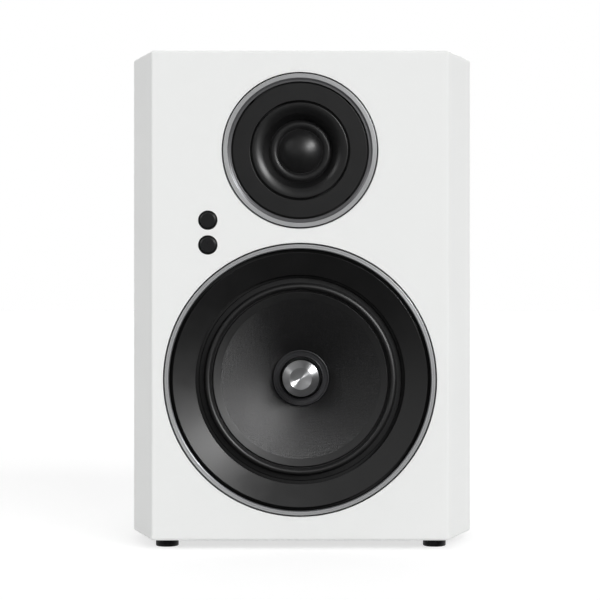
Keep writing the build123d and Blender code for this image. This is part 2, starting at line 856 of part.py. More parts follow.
with BuildPart() as woofer_cone:
    with BuildSketch(woofer_plane):
        with BuildLine():
            ThreePointArc(*cone_front)
            Line(cone_front[-1], cone_back[0])
            ThreePointArc(*cone_back)
            Polyline(
                cone_back[-1],
                (cone_rim_radius, ledge_top + cone_wall),
                (cone_rim_radius, ledge_top),
                cone_front[0],
            )
        make_face()
    revolve(axis=woofer_axis)

collar_front = neck_depth - collar_lift - collar_height

with BuildPart() as woofer_collar:
    with BuildSketch(woofer_plane):
        Polygon(
            (former_outer, collar_front + collar_dish),
            (collar_radius - collar_edge, collar_front),
            (collar_radius, collar_front + collar_edge),
            (collar_radius, neck_depth + cone_wall),
            (former_outer, neck_depth + cone_wall),
            align=None,
        )
    revolve(axis=woofer_axis)
    add(woofer_cone.part, mode=Mode.SUBTRACT)
    cut_off = woofer_collar.solids().sort_by(Axis.Y)[1:]
    for offcut in cut_off:
        add(offcut, mode=Mode.SUBTRACT)

with BuildPart() as woofer_coil_former:
    with BuildSketch(facing_front(collar_front + collar_dish, 0, woofer_height)):
        Circle(former_outer)
        Circle(former_radius, mode=Mode.SUBTRACT)
    extrude(amount=-former_length)

winding_outer = former_outer + winding_radial
winding_depth = basket_back + (woofer_plate_thickness - winding_length) / 2

with BuildPart() as woofer_voice_coil:
    with BuildSketch(facing_front(winding_depth, 0, woofer_height)):
        Circle(winding_outer)
        Circle(former_outer, mode=Mode.SUBTRACT)
    extrude(amount=-winding_length)

# A corrugated cloth disc: half circles that swap side, from the coil former to its ledge.
spider_back = basket_plate_depth - spider_ledge_height
spider_front = spider_back - spider_thickness
wave_start = former_outer + spider_inner_flat
wave_pitch = (spider_ledge_radius - wave_start) / spider_wave_count
wave_height = wave_pitch / 4

with BuildPart() as woofer_spider:
    with BuildSketch(woofer_plane):
        with BuildLine():
            Line((former_outer, spider_front), (wave_start, spider_front))
            for wave in range(spider_wave_count):
                start = wave_start + wave * wave_pitch
                for half, sign in ((0, -1), (0.5, 1)):
                    ThreePointArc(
                        (start + half * wave_pitch, spider_front),
                        (start + (half + 0.25) * wave_pitch, spider_front + sign * wave_height),
                        (start + (half + 0.5) * wave_pitch, spider_front),
                    )
            Polyline(
                (spider_ledge_radius, spider_front),
                (spider_land_radius, spider_front),
                (spider_land_radius, spider_back),
                (spider_ledge_radius, spider_back),
            )
            for wave in range(spider_wave_count):
                start = wave_start + wave * wave_pitch
                for half, sign in ((0, -1), (0.5, 1)):
                    ThreePointArc(
                        (start + half * wave_pitch, spider_back),
                        (start + (half + 0.25) * wave_pitch, spider_back + sign * wave_height),
                        (start + (half + 0.5) * wave_pitch, spider_back),
                    )
            Polyline(
                (wave_start, spider_back),
                (former_outer, spider_back),
                (former_outer, spider_front),
            )
        make_face()
    revolve(axis=woofer_axis)

woofer_magnet_depth = basket_back + woofer_plate_thickness
woofer_yoke_depth = woofer_magnet_depth + woofer_magnet_thickness
woofer_rear_depth = woofer_yoke_depth + woofer_back_thickness
pole_top = basket_back - pole_rise

with BuildPart() as woofer_top_plate:
    with BuildSketch(facing_front(basket_back, 0, woofer_height)):
        Circle(woofer_plate_radius)
        Circle(woofer_gap_outer_radius, mode=Mode.SUBTRACT)
    extrude(amount=-woofer_plate_thickness)

with BuildPart() as woofer_magnet:
    with BuildSketch(facing_front(woofer_magnet_depth, 0, woofer_height)):
        Circle(woofer_magnet_radius)
        Circle(woofer_magnet_inner_radius, mode=Mode.SUBTRACT)
    extrude(amount=-woofer_magnet_thickness)

with BuildPart() as woofer_yoke:
    with BuildSketch(woofer_plane):
        Polygon(
            (woofer_vent_radius, pole_top),
            (woofer_pole_radius, pole_top),
            (woofer_pole_radius, woofer_yoke_depth),
            (woofer_plate_radius, woofer_yoke_depth),
            (woofer_plate_radius, woofer_rear_depth),
            (woofer_vent_radius, woofer_rear_depth),
            align=None,
        )
    revolve(axis=woofer_axis)

plug_flank_depth = plug_top_depth + plug_flank_rise

with BuildPart() as phase_plug:
    with BuildSketch(woofer_plane):
        with BuildLine():
            ThreePointArc(
                (0, plug_top_depth + plug_dish),
                (plug_face_radius / 2, plug_top_depth + plug_dish * 3 / 4),
                (plug_face_radius, plug_top_depth),
            )
            Polyline(
                (plug_face_radius, plug_top_depth),
                (plug_flank_radius, plug_flank_depth),
                (plug_radius, plug_flank_depth + plug_shoulder),
                (plug_radius, pole_top),
                (0, pole_top),
                (0, plug_top_depth + plug_dish),
            )
        make_face()
    revolve(axis=woofer_axis)

# ---------------------------------------------------------------- front buttons
sleeve_radius = button_hole_radius - sleeve_wall
button_radius = sleeve_radius - button_gap
holder_back = baffle_thickness + sleeve_flange_thickness
switch_front = holder_back + switch_clearance
board_front = switch_front + switch_height
button_spots = [(button_x, height) for height in button_heights]
post_spots = [(button_x, button_height + side * button_post_offset) for side in (-1, 1)]

with BuildPart() as button_holder:
    with BuildSketch(facing_front(baffle_thickness)):
        with Locations((button_x, button_height)):
            RectangleRounded(button_board_width, button_board_height, sleeve_flange_corner)
    extrude(amount=-sleeve_flange_thickness)
    with BuildSketch(facing_front(0)):
        with Locations(*button_spots):
            Circle(button_hole_radius)
    extrude(amount=-baffle_thickness)
    with BuildSketch(facing_front(0)):
        with Locations(*button_spots):
            Circle(sleeve_radius)
    extrude(amount=-holder_back, mode=Mode.SUBTRACT)
    with BuildSketch(facing_front(holder_back)):
        with Locations(*post_spots):
            Circle(board_post_radius)
    extrude(amount=-(board_front - holder_back))
    with BuildSketch(facing_front(board_front)):
        with Locations(*post_spots):
            Circle(board_screw_radius)
    extrude(amount=board_screw_length - board_thickness, mode=Mode.SUBTRACT)


def push_button(height):
    """One button: a cap that slides in its sleeve, with a stem back to its switch."""
    with Locations(facing_front(-button_proud, button_x, height)):
        Cylinder(button_radius, button_proud + button_skirt, align=hanging)
        Cylinder(button_stem_radius, button_proud + switch_front + stem_entry, align=hanging)


with BuildPart() as power_button:
    push_button(button_heights[1])
    chamfer(power_button.edges().group_by(Axis.Y)[0], length=button_edge)
    with Locations(facing_front(-button_proud, button_x, button_heights[1] + lens_offset)):
        Cylinder(lens_radius, lens_depth, align=hanging, mode=Mode.SUBTRACT)

with BuildPart() as status_led_lens:
    with Locations(facing_front(-button_proud, button_x, button_heights[1] + lens_offset)):
        Cylinder(lens_radius, lens_depth, align=hanging)

with BuildPart() as source_button:
    push_button(button_heights[0])
    chamfer(source_button.edges().group_by(Axis.Y)[0], length=button_edge)

with BuildPart() as tact_switches:
    with BuildSketch(facing_front(switch_front)):
        with Locations(*button_spots):
            Rectangle(switch_size, switch_size)
    extrude(amount=-switch_height)
    with BuildSketch(facing_front(switch_front)):
        with Locations(*button_spots):
            Circle(button_stem_radius + running_fit)
    extrude(amount=-switch_hole_depth, mode=Mode.SUBTRACT)

with BuildPart() as button_board:
    with BuildSketch(facing_front(board_front)):
        with Locations((button_x, button_height)):
            Rectangle(button_board_width, button_board_height)
        with Locations(*post_spots):
            Circle(board_screw_radius, mode=Mode.SUBTRACT)
    extrude(amount=-board_thickness)

with BuildPart() as button_board_screws:
    with BuildSketch(facing_front(board_front + board_thickness)):
        with Locations(*post_spots):
            Circle(board_screw_head)
    extrude(amount=-board_screw_radius)
    with BuildSketch(facing_front(board_front + board_thickness)):
        with Locations(*post_spots):
            Circle(board_screw_radius)
    extrude(amount=board_screw_length)

# ---------------------------------------------------------------- reflex port
port_mouth = cabinet_depth + port_flange_thickness
port_inner_end = port_mouth - port_length
port_outer = port_radius + port_wall
port_mouth_radius = port_radius + port_flare_radius
port_body_radius = port_hole_radius - fit_gap
arc_share = 1 - 0.5**0.5
port_plane = turning(0, port_height)
port_axis = Axis(port_plane.origin, (0, 1, 0))

with BuildPart() as port_tube:
    with BuildSketch(port_plane):
        with BuildLine():
            ThreePointArc(
                (port_radius, port_mouth - port_flare_radius),
                (
                    port_radius + port_flare_radius * arc_share,
                    port_mouth - port_flare_radius * arc_share,
                ),
                (port_mouth_radius, port_mouth),
            )
            Polyline(
                (port_mouth_radius, port_mouth),
                (port_flange_radius - port_flange_edge, port_mouth),
                (port_flange_radius, port_mouth - port_flange_edge),
                (port_flange_radius, cabinet_depth),
                (port_body_radius, cabinet_depth),
                (port_body_radius, cabinet_depth - port_flange_thickness),
                (port_outer, port_mouth - port_flare_radius - port_wall),
                (port_outer, port_inner_end + port_inner_flare + port_wall),
                (port_outer + port_inner_flare, port_inner_end + port_wall),
                (port_outer + port_inner_flare, port_inner_end),
                (port_radius + port_inner_flare, port_inner_end),
            )
            ThreePointArc(
                (port_radius + port_inner_flare, port_inner_end),
                (
                    port_radius + port_inner_flare * arc_share,
                    port_inner_end + port_inner_flare * arc_share,
                ),
                (port_radius, port_inner_end + port_inner_flare),
            )
            Line(
                (port_radius, port_inner_end + port_inner_flare),
                (port_radius, port_mouth - port_flare_radius),
            )
        make_face()
    revolve(axis=port_axis)

# ---------------------------------------------------------------- amplifier
plate_outside = cabinet_depth + plate_thickness
plate_front = facing_rear(cabinet_depth, plate_middle_height)
plate_back = facing_rear(plate_outside, plate_middle_height)
jack_places = [(jack_offset[0] + side * jack_pitch / 2, jack_offset[1]) for side in (-1, 1)]
inlet_body_width = inlet_width - 4
inlet_body_height = inlet_height - 4
rocker_body_width = rocker_frame_width - 2
rocker_body_height = rocker_frame_height - 2

with BuildPart() as amplifier_plate:
    with BuildSketch(plate_front):
        RectangleRounded(plate_width, plate_height, plate_corner)
        with Locations(*plate_screw_places):
            Circle(plate_screw_radius + fit_gap, mode=Mode.SUBTRACT)
        with Locations(knob_offset):
            Circle(pot_bush_radius, mode=Mode.SUBTRACT)
        with Locations(*jack_places):
            Circle(jack_radius, mode=Mode.SUBTRACT)
        with Locations(slide_offset):
            Rectangle(slide_width, slide_height, mode=Mode.SUBTRACT)
        with Locations(inlet_offset):
            Rectangle(inlet_body_width, inlet_body_height, mode=Mode.SUBTRACT)
        with Locations(rocker_offset):
            Rectangle(rocker_body_width, rocker_body_height, mode=Mode.SUBTRACT)
    extrude(amount=plate_thickness)

with BuildPart() as amplifier_screws:
    with BuildSketch(plate_back):
        with Locations(*plate_screw_places):
            Circle(plate_screw_head)
    extrude(amount=plate_screw_head_height)
    with BuildSketch(plate_back):
        with Locations(*plate_screw_places):
            Circle(plate_screw_radius)
    extrude(amount=-plate_screw_length)

board_width = cutout_width - 2 * board_margin
board_height = cutout_height - 2 * board_margin
board_back = cabinet_depth - board_gap
board_face = board_back - board_thickness
standoff_places = [
    (x, y)
    for x in (-board_width / 2 + 5, board_width / 2 - 5)
    for y in (-board_height / 2 + 5, board_height / 2 - 5)
]

with BuildPart() as amplifier_board:
    with BuildSketch(facing_rear(board_back, plate_middle_height)):
        Rectangle(board_width, board_height)
    extrude(amount=-board_thickness)

with BuildPart() as board_standoffs:
    with BuildSketch(facing_rear(board_back, plate_middle_height)):
        with Locations(*standoff_places):
            RegularPolygon(standoff_radius, 6)
    extrude(amount=board_gap)

with BuildPart() as heat_sink:
    with BuildSketch(facing_rear(board_face, plate_middle_height)):
        with Locations(sink_place):
            Rectangle(sink_width, sink_height)
    extrude(amount=-sink_base)
    fin_pitch = (sink_width - sink_fin_thickness) / (sink_fins - 1)
    with BuildSketch(facing_rear(board_face - sink_base, plate_middle_height)):
        with Locations(sink_place):
            with GridLocations(fin_pitch, 1, sink_fins, 1):
                Rectangle(sink_fin_thickness, sink_height)
    extrude(amount=-(sink_depth - sink_base))

# Volume: a knob on a shaft that turns in the bush of its potentiometer.
knob_front = plate_outside + knob_gap
knob_back = knob_front + knob_length

with BuildPart() as volume_knob:
    with BuildSketch(facing_rear(knob_front, plate_middle_height)):
        with Locations(knob_offset):
            Circle(knob_radius)
            with PolarLocations(knob_radius, knob_grip_count):
                Circle(knob_grip_depth, mode=Mode.SUBTRACT)
    extrude(amount=knob_length)
    with BuildSketch(facing_rear(knob_front, plate_middle_height)):
        with Locations(knob_offset):
            Circle(shaft_radius)
    extrude(amount=knob_length - knob_cap, mode=Mode.SUBTRACT)
    with BuildSketch(facing_rear(knob_back, plate_middle_height)):
        with Locations((knob_offset[0], knob_offset[1] + knob_radius * 0.55)):
            Rectangle(knob_mark_width, knob_radius * 0.7)
    extrude(amount=-knob_mark_depth, mode=Mode.SUBTRACT)

pot_front = cabinet_depth - pot_length

with BuildPart() as volume_potentiometer:
    with BuildSketch(facing_rear(pot_front, plate_middle_height)):
        with Locations(knob_offset):
            Circle(pot_radius)
    extrude(amount=pot_length)
    with BuildSketch(plate_front):
        with Locations(knob_offset):
            Circle(pot_bush_radius)
    extrude(amount=plate_thickness)
    with BuildSketch(plate_back):
        with Locations(knob_offset):
            Circle(shaft_radius + running_fit)
    extrude(amount=-(plate_thickness + pot_bore), mode=Mode.SUBTRACT)

with BuildPart() as volume_shaft:
    with BuildSketch(facing_rear(knob_back - knob_cap, plate_middle_height)):
        with Locations(knob_offset):
            Circle(shaft_radius)
    extrude(amount=-(knob_length - knob_cap + knob_gap + plate_thickness + pot_bore - pot_end_gap))

# Two phono sockets: a metal sleeve with its nut, round a plastic insert.
with BuildPart() as phono_sleeves:
    with BuildSketch(plate_back):
        with Locations(*jack_places):
            RegularPolygon(jack_nut_radius, 6)
            Circle(jack_radius, mode=Mode.SUBTRACT)
    extrude(amount=jack_nut_thickness)
    with BuildSketch(plate_back):
        with Locations(*jack_places):
            Circle(jack_radius)
            Circle(jack_insert_radius, mode=Mode.SUBTRACT)
    extrude(amount=jack_length)
    with BuildSketch(plate_back):
        with Locations(*jack_places):
            Circle(jack_radius)
            Circle(jack_insert_radius, mode=Mode.SUBTRACT)
    extrude(amount=-(plate_thickness + jack_tail))

insert_end = plate_outside + jack_length - jack_insert_recess

with BuildPart() as phono_inserts:
    with BuildSketch(plate_back):
        with Locations(*jack_places):
            Circle(jack_insert_radius)
    extrude(amount=jack_length - jack_insert_recess)
    with BuildSketch(plate_back):
        with Locations(*jack_places):
            Circle(jack_insert_radius)
    extrude(amount=-(plate_thickness + jack_tail))
    with BuildSketch(facing_rear(insert_end, plate_middle_height)):
        with Locations(*jack_places):
            Circle(jack_pin_radius)
    extrude(amount=-jack_length, mode=Mode.SUBTRACT)

# Left or right channel: a slider in a slotted body.
slot_width = slider_width + slider_travel + 2 * slider_gap

with BuildPart() as channel_switch:
    with BuildSketch(plate_back):
        with Locations(slide_offset):
            Rectangle(slide_width + 4, slide_height + 3)
    extrude(amount=slide_frame_thickness)
    with BuildSketch(plate_back):
        with Locations(slide_offset):
            Rectangle(slide_width, slide_height)
    extrude(amount=-(plate_thickness + slide_tail))
    with BuildSketch(facing_rear(plate_outside + slide_frame_thickness, plate_middle_height)):
        with Locations(slide_offset):
            Rectangle(slot_width, slide_slot_height)
    extrude(amount=-slide_slot_depth, mode=Mode.SUBTRACT)

slider_x = slide_offset[0] - slider_travel / 2
slider_start = plate_outside + slide_frame_thickness - slide_slot_depth + slider_gap

with BuildPart() as channel_slider:
    with BuildSketch(facing_rear(slider_start, plate_middle_height)):
        with Locations((slider_x, slide_offset[1])):
            Rectangle(slider_width, slide_slot_height - 2 * slider_gap)
    extrude(amount=slide_slot_depth - slider_gap + slider_reach)

# Mains inlet: a recess shaped like a figure of eight, with two pins.
with BuildPart() as mains_inlet:
    with BuildSketch(plate_back):
        with Locations(inlet_offset):
            RectangleRounded(inlet_width, inlet_height, 2)
    extrude(amount=inlet_lip)
    with BuildSketch(plate_back):
        with Locations(inlet_offset):
            Rectangle(inlet_body_width, inlet_body_height)
    extrude(amount=-inlet_body_depth)
    with BuildSketch(facing_rear(plate_outside + inlet_lip, plate_middle_height)):
        with Locations(inlet_offset):
            SlotOverall(inlet_recess_width, inlet_recess_height)
    extrude(amount=-inlet_recess_depth, mode=Mode.SUBTRACT)

pin_places = [(inlet_offset[0] + side * inlet_pin_spacing / 2, inlet_offset[1]) for side in (-1, 1)]
recess_floor = plate_outside + inlet_lip - inlet_recess_depth

with BuildPart() as inlet_pins:
    with BuildSketch(facing_rear(recess_floor, plate_middle_height)):
        with Locations(*pin_places):
            Circle(inlet_pin_radius)
    extrude(amount=inlet_pin_length)
    fillet(inlet_pins.edges().group_by(Axis.Y)[-1], radius=inlet_pin_radius / 2)

# Rocker: a paddle on two stub pins; its ends are arcs about the pins, so they stay clear.
rocker_axis_depth = plate_outside
rocker_bore = rocker_height / 2 + rocker_gap
pin_end = rocker_width / 2 + rocker_gap + rocker_pin_reach
rocker_x = -rocker_offset[0]
rocker_z = at_height(plate_middle_height) + rocker_offset[1]
side_plane = Plane(
    origin=(rocker_x, at_depth(rocker_axis_depth), rocker_z), x_dir=(0, 1, 0), z_dir=(1, 0, 0)
)

with BuildPart() as rocker_housing:
    with BuildSketch(plate_back):
        with Locations(rocker_offset):
            RectangleRounded(rocker_frame_width, rocker_frame_height, 1.5)
    extrude(amount=rocker_frame_lip)
    with BuildSketch(plate_back):
        with Locations(rocker_offset):
            Rectangle(rocker_body_width, rocker_body_height)
    extrude(amount=-rocker_body_depth)
    with BuildSketch(facing_rear(plate_outside + rocker_frame_lip, plate_middle_height)):
        with Locations(rocker_offset):
            Rectangle(rocker_width + 2 * rocker_gap, 2 * rocker_bore)
    extrude(amount=-(rocker_frame_lip + rocker_pocket), mode=Mode.SUBTRACT)
    with BuildSketch(side_plane):
        Circle(rocker_pin_radius + running_fit)
    extrude(amount=pin_end + rocker_gap, both=True, mode=Mode.SUBTRACT)

with BuildPart() as power_rocker:
    with BuildSketch(side_plane):
        Circle(rocker_height / 2)
        with Locations(Rotation(0, 0, rocker_throw)):
            with Locations(((rocker_outside - rocker_inside) / 2, 0)):
                Rectangle(rocker_outside + rocker_inside, rocker_height, mode=Mode.INTERSECT)
    extrude(amount=rocker_width / 2, both=True)
    with BuildSketch(side_plane):
        Circle(rocker_pin_radius)
    extrude(amount=pin_end, both=True)

# ---------------------------------------------------------------- hand over
pieces = {
    "front_baffle": front_baffle,
    "top_panel": top_panel,
    "bottom_panel": bottom_panel,
    "left_side_panel": left_side_panel,
    "right_side_panel": right_side_panel,
    "rear_panel": rear_panel,
    "damping_mats": damping_mats,
    "rubber_feet": rubber_feet,
    "tweeter_trim_ring": tweeter_trim_ring,
    "tweeter_faceplate": tweeter_faceplate,
    "tweeter_waveguide": tweeter_waveguide,
    "tweeter_gasket": tweeter_gasket,
    "tweeter_screws": tweeter_screws,
    "tweeter_surround": tweeter_surround,
    "tweeter_dome": tweeter_dome,
    "tweeter_coil_former": tweeter_coil_former,
    "tweeter_voice_coil": tweeter_voice_coil,
    "tweeter_top_plate": tweeter_top_plate,
    "tweeter_magnet": tweeter_magnet,
    "tweeter_yoke": tweeter_yoke,
    "tweeter_rear_chamber": tweeter_rear_chamber,
    "woofer_trim_ring": woofer_trim_ring,
    "woofer_bezel": woofer_bezel,
    "woofer_basket": woofer_basket,
    "woofer_gasket": woofer_gasket,
    "woofer_screws": woofer_screws,
    "woofer_surround": woofer_surround,
    "woofer_cone": woofer_cone,
    "woofer_collar": woofer_collar,
    "woofer_coil_former": woofer_coil_former,
    "woofer_voice_coil": woofer_voice_coil,
    "woofer_spider": woofer_spider,
    "woofer_top_plate": woofer_top_plate,
    "woofer_magnet": woofer_magnet,
    "woofer_yoke": woofer_yoke,
    "phase_plug": phase_plug,
    "button_holder": button_holder,
    "power_button": power_button,
    "status_led_lens": status_led_lens,
    "source_button": source_button,
    "tact_switches": tact_switches,
    "button_board": button_board,
    "button_board_screws": button_board_screws,
    "port_tube": port_tube,
    "amplifier_plate": amplifier_plate,
    "amplifier_screws": amplifier_screws,
    "amplifier_board": amplifier_board,
    "board_standoffs": board_standoffs,
    "heat_sink": heat_sink,
    "volume_knob": volume_knob,
    "volume_shaft": volume_shaft,
    "volume_potentiometer": volume_potentiometer,
    "phono_sleeves": phono_sleeves,
    "phono_inserts": phono_inserts,
    "channel_switch": channel_switch,
    "channel_slider": channel_slider,
    "mains_inlet": mains_inlet,
    "inlet_pins": inlet_pins,
    "rocker_housing": rocker_housing,
    "power_rocker": power_rocker,
}
os.makedirs("parts", exist_ok=True)
for name, piece in pieces.items():
    piece.part.label = name
    export_step(piece.part, f"parts/{name}.step")
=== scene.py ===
"""Looks of a powered two-way bookshelf speaker: its finishes, its soft moving parts and a plain studio.

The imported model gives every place. Lengths in the settings are in metres and colours are linear;
a driver's profile is written in millimetres as (radius, depth behind the face of the baffle).
"""

from functools import cache
from math import cos, pi, radians, sin

import bmesh
import bpy
from bpy.props import FloatProperty, FloatVectorProperty, PointerProperty
from mathutils import Matrix, Vector
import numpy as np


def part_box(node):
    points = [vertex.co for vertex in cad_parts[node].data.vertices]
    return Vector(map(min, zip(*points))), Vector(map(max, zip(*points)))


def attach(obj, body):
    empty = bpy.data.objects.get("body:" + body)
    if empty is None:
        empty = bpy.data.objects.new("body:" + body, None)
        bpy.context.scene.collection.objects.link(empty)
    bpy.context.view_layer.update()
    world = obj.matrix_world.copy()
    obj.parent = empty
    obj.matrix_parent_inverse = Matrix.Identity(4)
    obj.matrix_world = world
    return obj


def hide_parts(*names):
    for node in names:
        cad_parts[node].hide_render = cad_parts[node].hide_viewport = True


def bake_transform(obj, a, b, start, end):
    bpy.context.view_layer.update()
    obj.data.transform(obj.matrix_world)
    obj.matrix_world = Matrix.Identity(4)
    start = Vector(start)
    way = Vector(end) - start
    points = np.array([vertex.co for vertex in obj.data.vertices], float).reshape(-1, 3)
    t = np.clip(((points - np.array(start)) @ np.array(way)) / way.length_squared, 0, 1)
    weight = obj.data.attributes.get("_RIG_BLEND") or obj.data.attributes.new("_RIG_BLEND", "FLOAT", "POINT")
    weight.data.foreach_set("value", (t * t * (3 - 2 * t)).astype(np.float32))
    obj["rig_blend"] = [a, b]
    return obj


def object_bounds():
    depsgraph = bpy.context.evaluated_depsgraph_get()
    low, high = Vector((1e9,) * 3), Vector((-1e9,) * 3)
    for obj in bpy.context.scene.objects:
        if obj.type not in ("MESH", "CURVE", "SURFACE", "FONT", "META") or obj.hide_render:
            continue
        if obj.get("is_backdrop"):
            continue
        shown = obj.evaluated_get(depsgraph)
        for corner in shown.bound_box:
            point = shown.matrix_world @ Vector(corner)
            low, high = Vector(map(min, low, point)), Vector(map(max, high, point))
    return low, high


bl_info = {
    "name": "Bookshelf Speaker",
    "version": (1, 0, 0),
    "blender": (4, 5, 0),
    "location": "3D View > Sidebar > Speaker",
    "description": "Finishes, soft parts and studio of a powered two-way bookshelf speaker",
    "category": "Object",
}

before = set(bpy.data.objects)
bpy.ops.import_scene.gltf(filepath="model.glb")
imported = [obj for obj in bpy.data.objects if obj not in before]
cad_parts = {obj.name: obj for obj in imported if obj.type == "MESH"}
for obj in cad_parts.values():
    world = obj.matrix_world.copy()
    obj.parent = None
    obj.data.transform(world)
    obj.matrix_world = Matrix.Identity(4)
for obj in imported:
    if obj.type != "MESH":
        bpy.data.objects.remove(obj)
MM = 0.001
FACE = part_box("front_baffle")[0].y
WOOFER = sum(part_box("woofer_trim_ring"), Vector()) / 2
TWEETER = sum(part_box("tweeter_trim_ring"), Vector()) / 2
LACQUERED = ("front_baffle", "top_panel", "bottom_panel", "left_side_panel", "right_side_panel", "rear_panel")


def paint(code):
    """The linear colour of an sRGB hex value."""
    parts = [int(code[i : i + 2], 16) / 255 for i in (1, 3, 5)]
    return [p / 12.92 if p <= 0.04045 else ((p + 0.055) / 1.055) ** 2.4 for p in parts]


def colour(name, code, about):
    """A colour that a user may change."""
    return FloatVectorProperty(
        name=name, description=about, subtype="COLOR", size=3, min=0, max=1, default=paint(code)
    )


def length(name, size, about):
    """A length that a user may change, with its default in millimetres."""
    return FloatProperty(
        name=name, description=about, unit="LENGTH", min=0, default=size * MM, precision=4
    )


def number(name, value, about):
    """A plain number that a user may change."""
    return FloatProperty(name=name, description=about, min=0, default=value)


class CabinetSettings(bpy.types.PropertyGroup):
    """What a user may change on the cabinet."""

    lacquer: colour("Lacquer", "#EEEFEE", "Colour of the sprayed lacquer")
    orange_peel: length("Orange peel", 1.4, "Distance between the soft waves that spraying leaves")
    rubber: colour("Rubber", "#0B0B0C", "Colour of the feet")


class TweeterSettings(bpy.types.PropertyGroup):
    """What a user may change on the tweeter."""

    ring: colour("Trim ring", "#BABBBC", "Colour of the anodised trim ring")
    # the chamfer's darker colour is painted shade on the inward-facing bevel
    chamfer: colour("Chamfer", "#78787A", "Colour of the trim ring's inner chamfer")
    faceplate: colour("Faceplate", "#0F0F10", "Colour of the moulded faceplate")
    # the horn is a little darker than the faceplate, which partly paints the shade deep in its bowl
    horn: colour("Horn", "#0C0C0D", "Colour of the waveguide")
    silk: colour("Silk", "#0F0F10", "Colour of the coated dome and its surround")
    soft_edge: length("Soft edge", 0.35, "Radius of the faceplate's edges")
    silk_pitch: length("Silk thread", 0.45, "Distance between threads of the dome's silk")


class WooferSettings(bpy.types.PropertyGroup):
    """What a user may change on the woofer."""

    ring: colour("Trim ring", "#BABBBC", "Colour of the anodised trim ring")
    # the chamfer's darker colour is painted shade on the inward-facing bevel
    chamfer: colour("Chamfer", "#707173", "Colour of the trim ring's inner chamfer")
    bezel: colour("Bezel", "#0A0A0B", "Colour of the moulded bezel")
    rubber: colour("Surround", "#0B0B0C", "Colour of the rubber surround")
    cloth: colour("Cone", "#151516", "Colour of the woven cone")
    soft_edge: length("Soft edge", 0.12, "Radius of the bezel's edges")
    thread_pitch: length("Cone thread", 0.45, "Distance between threads of the woven cone")
    plug: colour("Phase plug", "#EFF0F1", "Colour of the turned phase plug")


class ControlSettings(bpy.types.PropertyGroup):
    """What a user may change on the buttons and the amplifier plate."""

    button: colour("Buttons", "#0D0E10", "Colour of the two front buttons")
    plate: colour("Plate", "#141416", "Colour of the amplifier plate")
    knob: colour("Knob", "#101011", "Colour of the volume knob and the switch cap")


class StudioSettings(bpy.types.PropertyGroup):
    """What a user may change in the studio."""

    distance: length("Distance", 1203, "From the camera to the face of the baffle")
    aside: length("Aside", 30, "How far the camera stands to the right of the speaker's middle")
    height: length("Height", 160.6, "Height of the camera")
    lens: number("Lens", 118.0, "Focal length in millimetres")
    key: number("Key light", 1.65, "Strength of the light in front to the right, for matt surfaces")
    softbox: number("Softbox", 58.0, "Power of the near strip at the right, for mirrors")
    left: number("Left light", 0.35, "Strength of the light far to the left, for matt surfaces")
    card: number("Left card", 0.5, "Strength of the card far to the left, for mirrors")
    fill: number("Fill light", 0.34, "Strength of the light in front to the left")
    top: number("Top light", 0.4, "Strength of the overhead light")
    back: number("Back light", 0.5, "Strength of the light behind")
    room: number("Room light", 0.3, "Light from all round")
    dim: number("Dim side", 0.045, "How bright mirrors show the room in front of the speaker")
    glow: number("Floor glow", 1.33, "Strength of the floor's own white")


# ------------------------------------------------------------------ making finishes


def add(tree, kind, settings=None, inputs=None):
    """One shader node with its settings; each input is a value or another node's output."""
    node = tree.nodes.new("ShaderNode" + kind)
    for name, value in (settings or {}).items():
        setattr(node, name, value)
    for name, value in (inputs or {}).items():
        if isinstance(value, bpy.types.NodeSocket):
            tree.links.new(value, node.inputs[name])
        else:
            node.inputs[name].default_value = value
    return node


def finish(name, base, roughness, metallic=0.0, **sockets):
    """A new finish: the material, its nodes and its shader, with what is the same all over."""
    material = bpy.data.materials.new(name)
    material.use_nodes = True
    tree = material.node_tree
    shader = tree.nodes["Principled BSDF"]
    shader.inputs["Base Color"].default_value = (*base, 1)
    shader.inputs["Roughness"].default_value = roughness
    shader.inputs["Metallic"].default_value = metallic
    for socket, value in sockets.items():
        shader.inputs[socket.replace("_", " ")].default_value = value
    return material, tree, shader


def speckle(tree, pitch, detail=2.0, stretch=(1, 1, 1)):
    """Even noise with its features about pitch millimetres apart."""
    place = add(tree, "TexCoord").outputs["Object"]
    turned = add(tree, "Mapping", None, {"Vector": place, "Scale": stretch})
    inputs = {"Vector": turned.outputs[0], "Scale": 1 / (pitch * MM), "Detail": detail}
    return add(tree, "TexNoise", None, inputs).outputs["Fac"]


def relief(tree, shader, height, depth):
    """Raises the surface by up to depth millimetres where height is 1."""
    inputs = {"Height": height, "Distance": depth * MM}
    tree.links.new(add(tree, "Bump", None, inputs).outputs[0], shader.inputs["Normal"])


def spread(tree, shader, socket, amount, low, high):
    """Lets a socket of the shader range from low to high with a pattern."""
    # a noise pattern keeps mostly between 0.3 and 0.7
    inputs = {"Value": amount, "From Min": 0.3, "From Max": 0.7, "To Min": low, "To Max": high}
    tree.links.new(add(tree, "MapRange", None, inputs).outputs[0], shader.inputs[socket])


def tint(tree, shader, amount, low, high):
    """Lets the base colour range between two colours with a pattern."""
    # sockets 6 and 7 are the two colours that the node mixes
    inputs = {0: amount, 6: (*low, 1), 7: (*high, 1)}
    mixed = add(tree, "Mix", {"data_type": "RGBA"}, inputs)
    tree.links.new(mixed.outputs[2], shader.inputs["Base Color"])


def shaded(base, share):
    """A colour made darker or lighter by a share."""
    return [min(1, c * share) for c in base]


def round_axis(tree, centre):
    """The radius from a driver's axis in metres, and the direction away from it."""
    place = add(tree, "TexCoord").outputs["Object"]
    arm = add(tree, "VectorMath", {"operation": "SUBTRACT"}, {0: place, 1: centre})
    flat = add(tree, "VectorMath", {"operation": "MULTIPLY"}, {0: arm.outputs[0], 1: (1, 0, 1)})
    radius = add(tree, "VectorMath", {"operation": "LENGTH"}, {0: flat.outputs[0]})
    across = add(tree, "VectorMath", {"operation": "NORMALIZE"}, {0: flat.outputs[0]})
    return radius.outputs["Value"], across.outputs[0]


# ------------------------------------------------------------------ finishes


